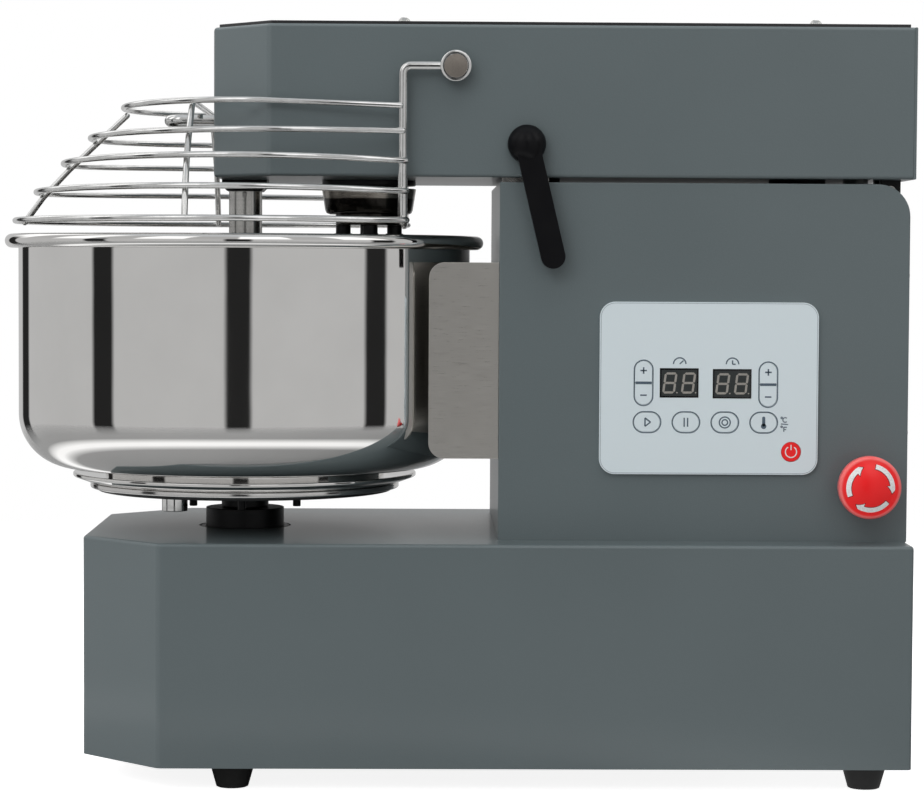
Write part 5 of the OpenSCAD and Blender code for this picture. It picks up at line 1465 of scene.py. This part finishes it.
class MixerFeet(bpy.types.Operator):
    """Tapered rubber feet"""
    bl_idname = "mixer.feet"
    bl_label = "Feet"

    def execute(self, context):
        base = low("base_bottom_plate", 2)
        tip, top = 10.5 * MM, 14.5 * MM
        profile = [(0, 3 * MM), (5.5 * MM, 3 * MM), (5.8 * MM, 0.6 * MM), (6.4 * MM, 0)]
        profile += [(tip - 0.8 * MM, 0), (tip - 0.2 * MM, 0.3 * MM), (tip, 1 * MM)]
        profile += [(top - 0.25 * MM, base - 1.2 * MM), (top, base - 0.5 * MM), (top, base)]
        stud_r, stud_top = 4 * MM, base + 8 * MM
        profile += [(stud_r, base), (stud_r, stud_top), (0, stud_top)]
        spots = {(round(x, 4), round(y, 4)) for x, y, _ in solid_middles("feet")}
        mesh = stamped("rubber_feet", shaded(lathe(profile, 48), 35),
                       [((x, y, 0), (0, 0, 1)) for x, y in sorted(spots)], "rubber_black")
        piece("tapered_feet", mesh, "rubber_black", "base", "rubber_black", "feet")
        return {"FINISHED"}


class MixerInnerParts(bpy.types.Operator):
    """Finishes on the CAD parts that keep their own form"""
    bl_idname = "mixer.inner_parts"
    bl_label = "Parts inside"

    def execute(self, context):
        for node, made in frame["nodes"].items():
            finish = FINISHES[SLOT_OF[node]]
            if made.material_slots:
                for slot in made.material_slots:
                    slot.material = finish
            else:
                made.data.materials.append(finish)
        return {"FINISHED"}


# ---------- stage ----------

# Round the mixer stand this many soft panels of even brightness, evenly spaced, with dark gaps
# between them; the camera stands in one of the gaps
ROOM_PANELS = 5
PANEL_LEVEL, GAP_LEVEL = 0.55, 0.02
CEILING_LAMPS = 7
CAMERA_AT = (-0.0206, -1.875, 0.336)
FOCAL_LENGTH = 107.9
# In degrees: to the left, up, and a roll round the line of sight
CAMERA_LEFT, CAMERA_UP, CAMERA_ROLL = -0.92, -2.73, 0.31
FLOOR_LEVEL = -0.4 * MM


class MixerStage(bpy.types.Operator):
    """Pale floor, soft light and the camera"""
    bl_idname = "mixer.stage"
    bl_label = "Stage"

    def execute(self, context):
        light = context.scene.mixer_light
        self.camera(context)
        self.room(context, light.room)
        self.floor(context)
        self.lamp(context, "top_light", (0.1, -0.5, 2.4), (0, 0, 0.3), 1.8,
                  light.lamps, (1, 0.99, 0.97))
        self.lamp(context, "front_light", (-0.9, -2.6, 1.9), (0, 0, 0.3), 1.4,
                  light.lamps, (0.96, 0.99, 1))
        context.scene.view_settings.view_transform = "Standard"
        return {"FINISHED"}

    def camera(self, context):
        data = bpy.data.cameras.new("view")
        data.lens, data.sensor_width = FOCAL_LENGTH, 36
        data.clip_start, data.clip_end = 0.05, 50
        camera = bpy.data.objects.new("view", data)
        context.collection.objects.link(camera)
        camera.matrix_world = (
            Matrix.Translation(CAMERA_AT) @ Matrix.Rotation(radians(CAMERA_LEFT), 4, "Z")
            @ Matrix.Rotation(radians(90 + CAMERA_UP), 4, "X")
            @ Matrix.Rotation(radians(CAMERA_ROLL), 4, "Z"))
        context.scene.camera = camera

    def room(self, context, strength):
        """Pale all round for the eye; what shines sees the soft panels, the gaps and the ceiling."""
        world = bpy.data.worlds.new("pale_room")
        context.scene.world = world
        world.use_nodes = True
        nodes = Nodes(world.node_tree)
        world.node_tree.nodes.clear()
        way = nodes.node("ShaderNodeTexCoord").out("Generated")
        split = nodes.node("ShaderNodeSeparateXYZ", {}, {"Vector": way})
        turn = split.out("X").math("ARCTAN2", split.out("X"), 0 - split.out("Y"))
        walls = turn.math("COSINE", turn * ROOM_PANELS).ramp(0.8, 0.9, PANEL_LEVEL, GAP_LEVEL)
        lamps = turn.math("SINE", turn * CEILING_LAMPS).ramp(-0.1, 0.1, 0.5, 1.35)
        ceiling = nodes.mix(split.out("Z").ramp(0.8, 0.85), lamps, (0.6, 0.62, 0.64, 1))
        seen = nodes.mix(split.out("Z").ramp(0.2, 0.4), walls, ceiling)
        path = nodes.node("ShaderNodeLightPath")
        colour = nodes.mix(path.out("Is Camera Ray"), seen, (1, 1, 1, 1))
        from_front = split.out("X").ramp(-0.8, 0.6, 1.75, 0.5)
        even = path.out("Is Diffuse Ray") * (from_front - 1) + 1
        glow = nodes.node("ShaderNodeBackground", {}, {"Color": colour, "Strength": even * strength})
        nodes.node("ShaderNodeOutputWorld", {}, {"Surface": glow})

    def floor(self, context):
        """Round pale floor that fades out, so that it ends without an edge."""
        mesh = shaded(lathe([(radius, FLOOR_LEVEL) for radius in (0, 0.6, 1.2, 1.9)], 96))
        made = loose_object("floor", mesh)
        finish = Finish("pale_floor", (0.8, 0.8, 0.8), 0.6)
        spot = finish.place()
        radius = (finish.axis(spot, "X") ** 2 + finish.axis(spot, "Y") ** 2) ** 0.5
        clear = finish.node("ShaderNodeBsdfTransparent")
        tree = finish.tree
        output = tree.nodes["Material Output"]
        fade = finish.node("ShaderNodeMixShader", {}, {0: radius.ramp(0.75, 1.8), 2: clear})
        tree.links.new(finish.shader.outputs[0], fade.made.inputs[1])
        tree.links.new(fade.socket, output.inputs["Surface"])
        pale = finish.mix(finish.noise(spot, 3, 2), (0.8, 0.8, 0.8, 1), (0.83, 0.83, 0.83, 1))
        path = finish.node("ShaderNodeLightPath")
        camera, mirrored = path.out("Is Camera Ray"), path.out("Is Glossy Ray")
        # A ring of floor round the bowl glows for mirrored rays only: a painted highlight, which the
        # bowl's lower corner reflects as a bright band. To every ray but the camera's the floor is
        # grey.
        bowl_spot = finish.place(at=(BOWL_X, 0, 0))
        away = (finish.axis(bowl_spot, "X") ** 2 + finish.axis(bowl_spot, "Y") ** 2) ** 0.5
        painted_highlight_ring = away.ramp(0.3, 0.37) * away.ramp(0.41, 0.52, 1, 0)
        finish.feed("Base Color", finish.mix(camera, (0.33, 0.33, 0.33, 1), pale))
        finish.feed("Emission Color", camera * 0.88 + mirrored * painted_highlight_ring * 0.8)
        finish.feed("Emission Strength", 1.0)
        mesh.materials.append(finish.material)

    def lamp(self, context, name, place, target, size, power, colour):
        data = bpy.data.lights.new(name, "AREA")
        data.shape, data.size, data.energy, data.color = "DISK", size, power, colour
        lamp = bpy.data.objects.new(name, data)
        context.collection.objects.link(lamp)
        lamp.location = place
        lamp.rotation_euler = (Vector(target) - Vector(place)).to_track_quat("-Z", "Y").to_euler()
        lamp.visible_camera = False
        lamp.visible_glossy = False


# ---------- panel in the sidebar, registration, run ----------

STEPS = (
    MixerStage, MixerInnerParts, MixerHousings, MixerPlates, MixerBowl, MixerTurntable, MixerGuard,
    MixerSpiral, MixerBreaker, MixerPanel, MixerDisplays, MixerStop, MixerLever, MixerScrews,
    MixerFeet,
)


class MixerSidebar(bpy.types.Panel):
    """Lists the mixer's sizes, colours and building steps"""
    bl_idname = "VIEW3D_PT_mixer"
    bl_label = "Dough mixer"
    bl_space_type = "VIEW_3D"
    bl_region_type = "UI"
    bl_category = "Mixer"

    def draw(self, context):
        for group in ("mixer_shape", "mixer_colours", "mixer_light"):
            settings = getattr(context.scene, group)
            for key in settings.bl_rna.properties.keys():
                if key not in ("rna_type", "name"):
                    self.layout.prop(settings, key)
        for step in STEPS:
            self.layout.operator(step.bl_idname)


GROUPS = {"mixer_shape": MixerShape, "mixer_colours": MixerColours, "mixer_light": MixerLight}


def register():
    for kind in (*GROUPS.values(), *STEPS, MixerSidebar):
        bpy.utils.register_class(kind)
    for name, kind in GROUPS.items():
        setattr(bpy.types.Scene, name, PointerProperty(type=kind))


def unregister():
    for name in GROUPS:
        delattr(bpy.types.Scene, name)
    for kind in reversed((*GROUPS.values(), *STEPS, MixerSidebar)):
        bpy.utils.unregister_class(kind)


def main():
    register()
    make_finishes(bpy.context.scene.mixer_colours)
    for step in STEPS:
        group, name = step.bl_idname.split(".")
        getattr(getattr(bpy.ops, group), name)()


if __name__ == "__main__":
    main()
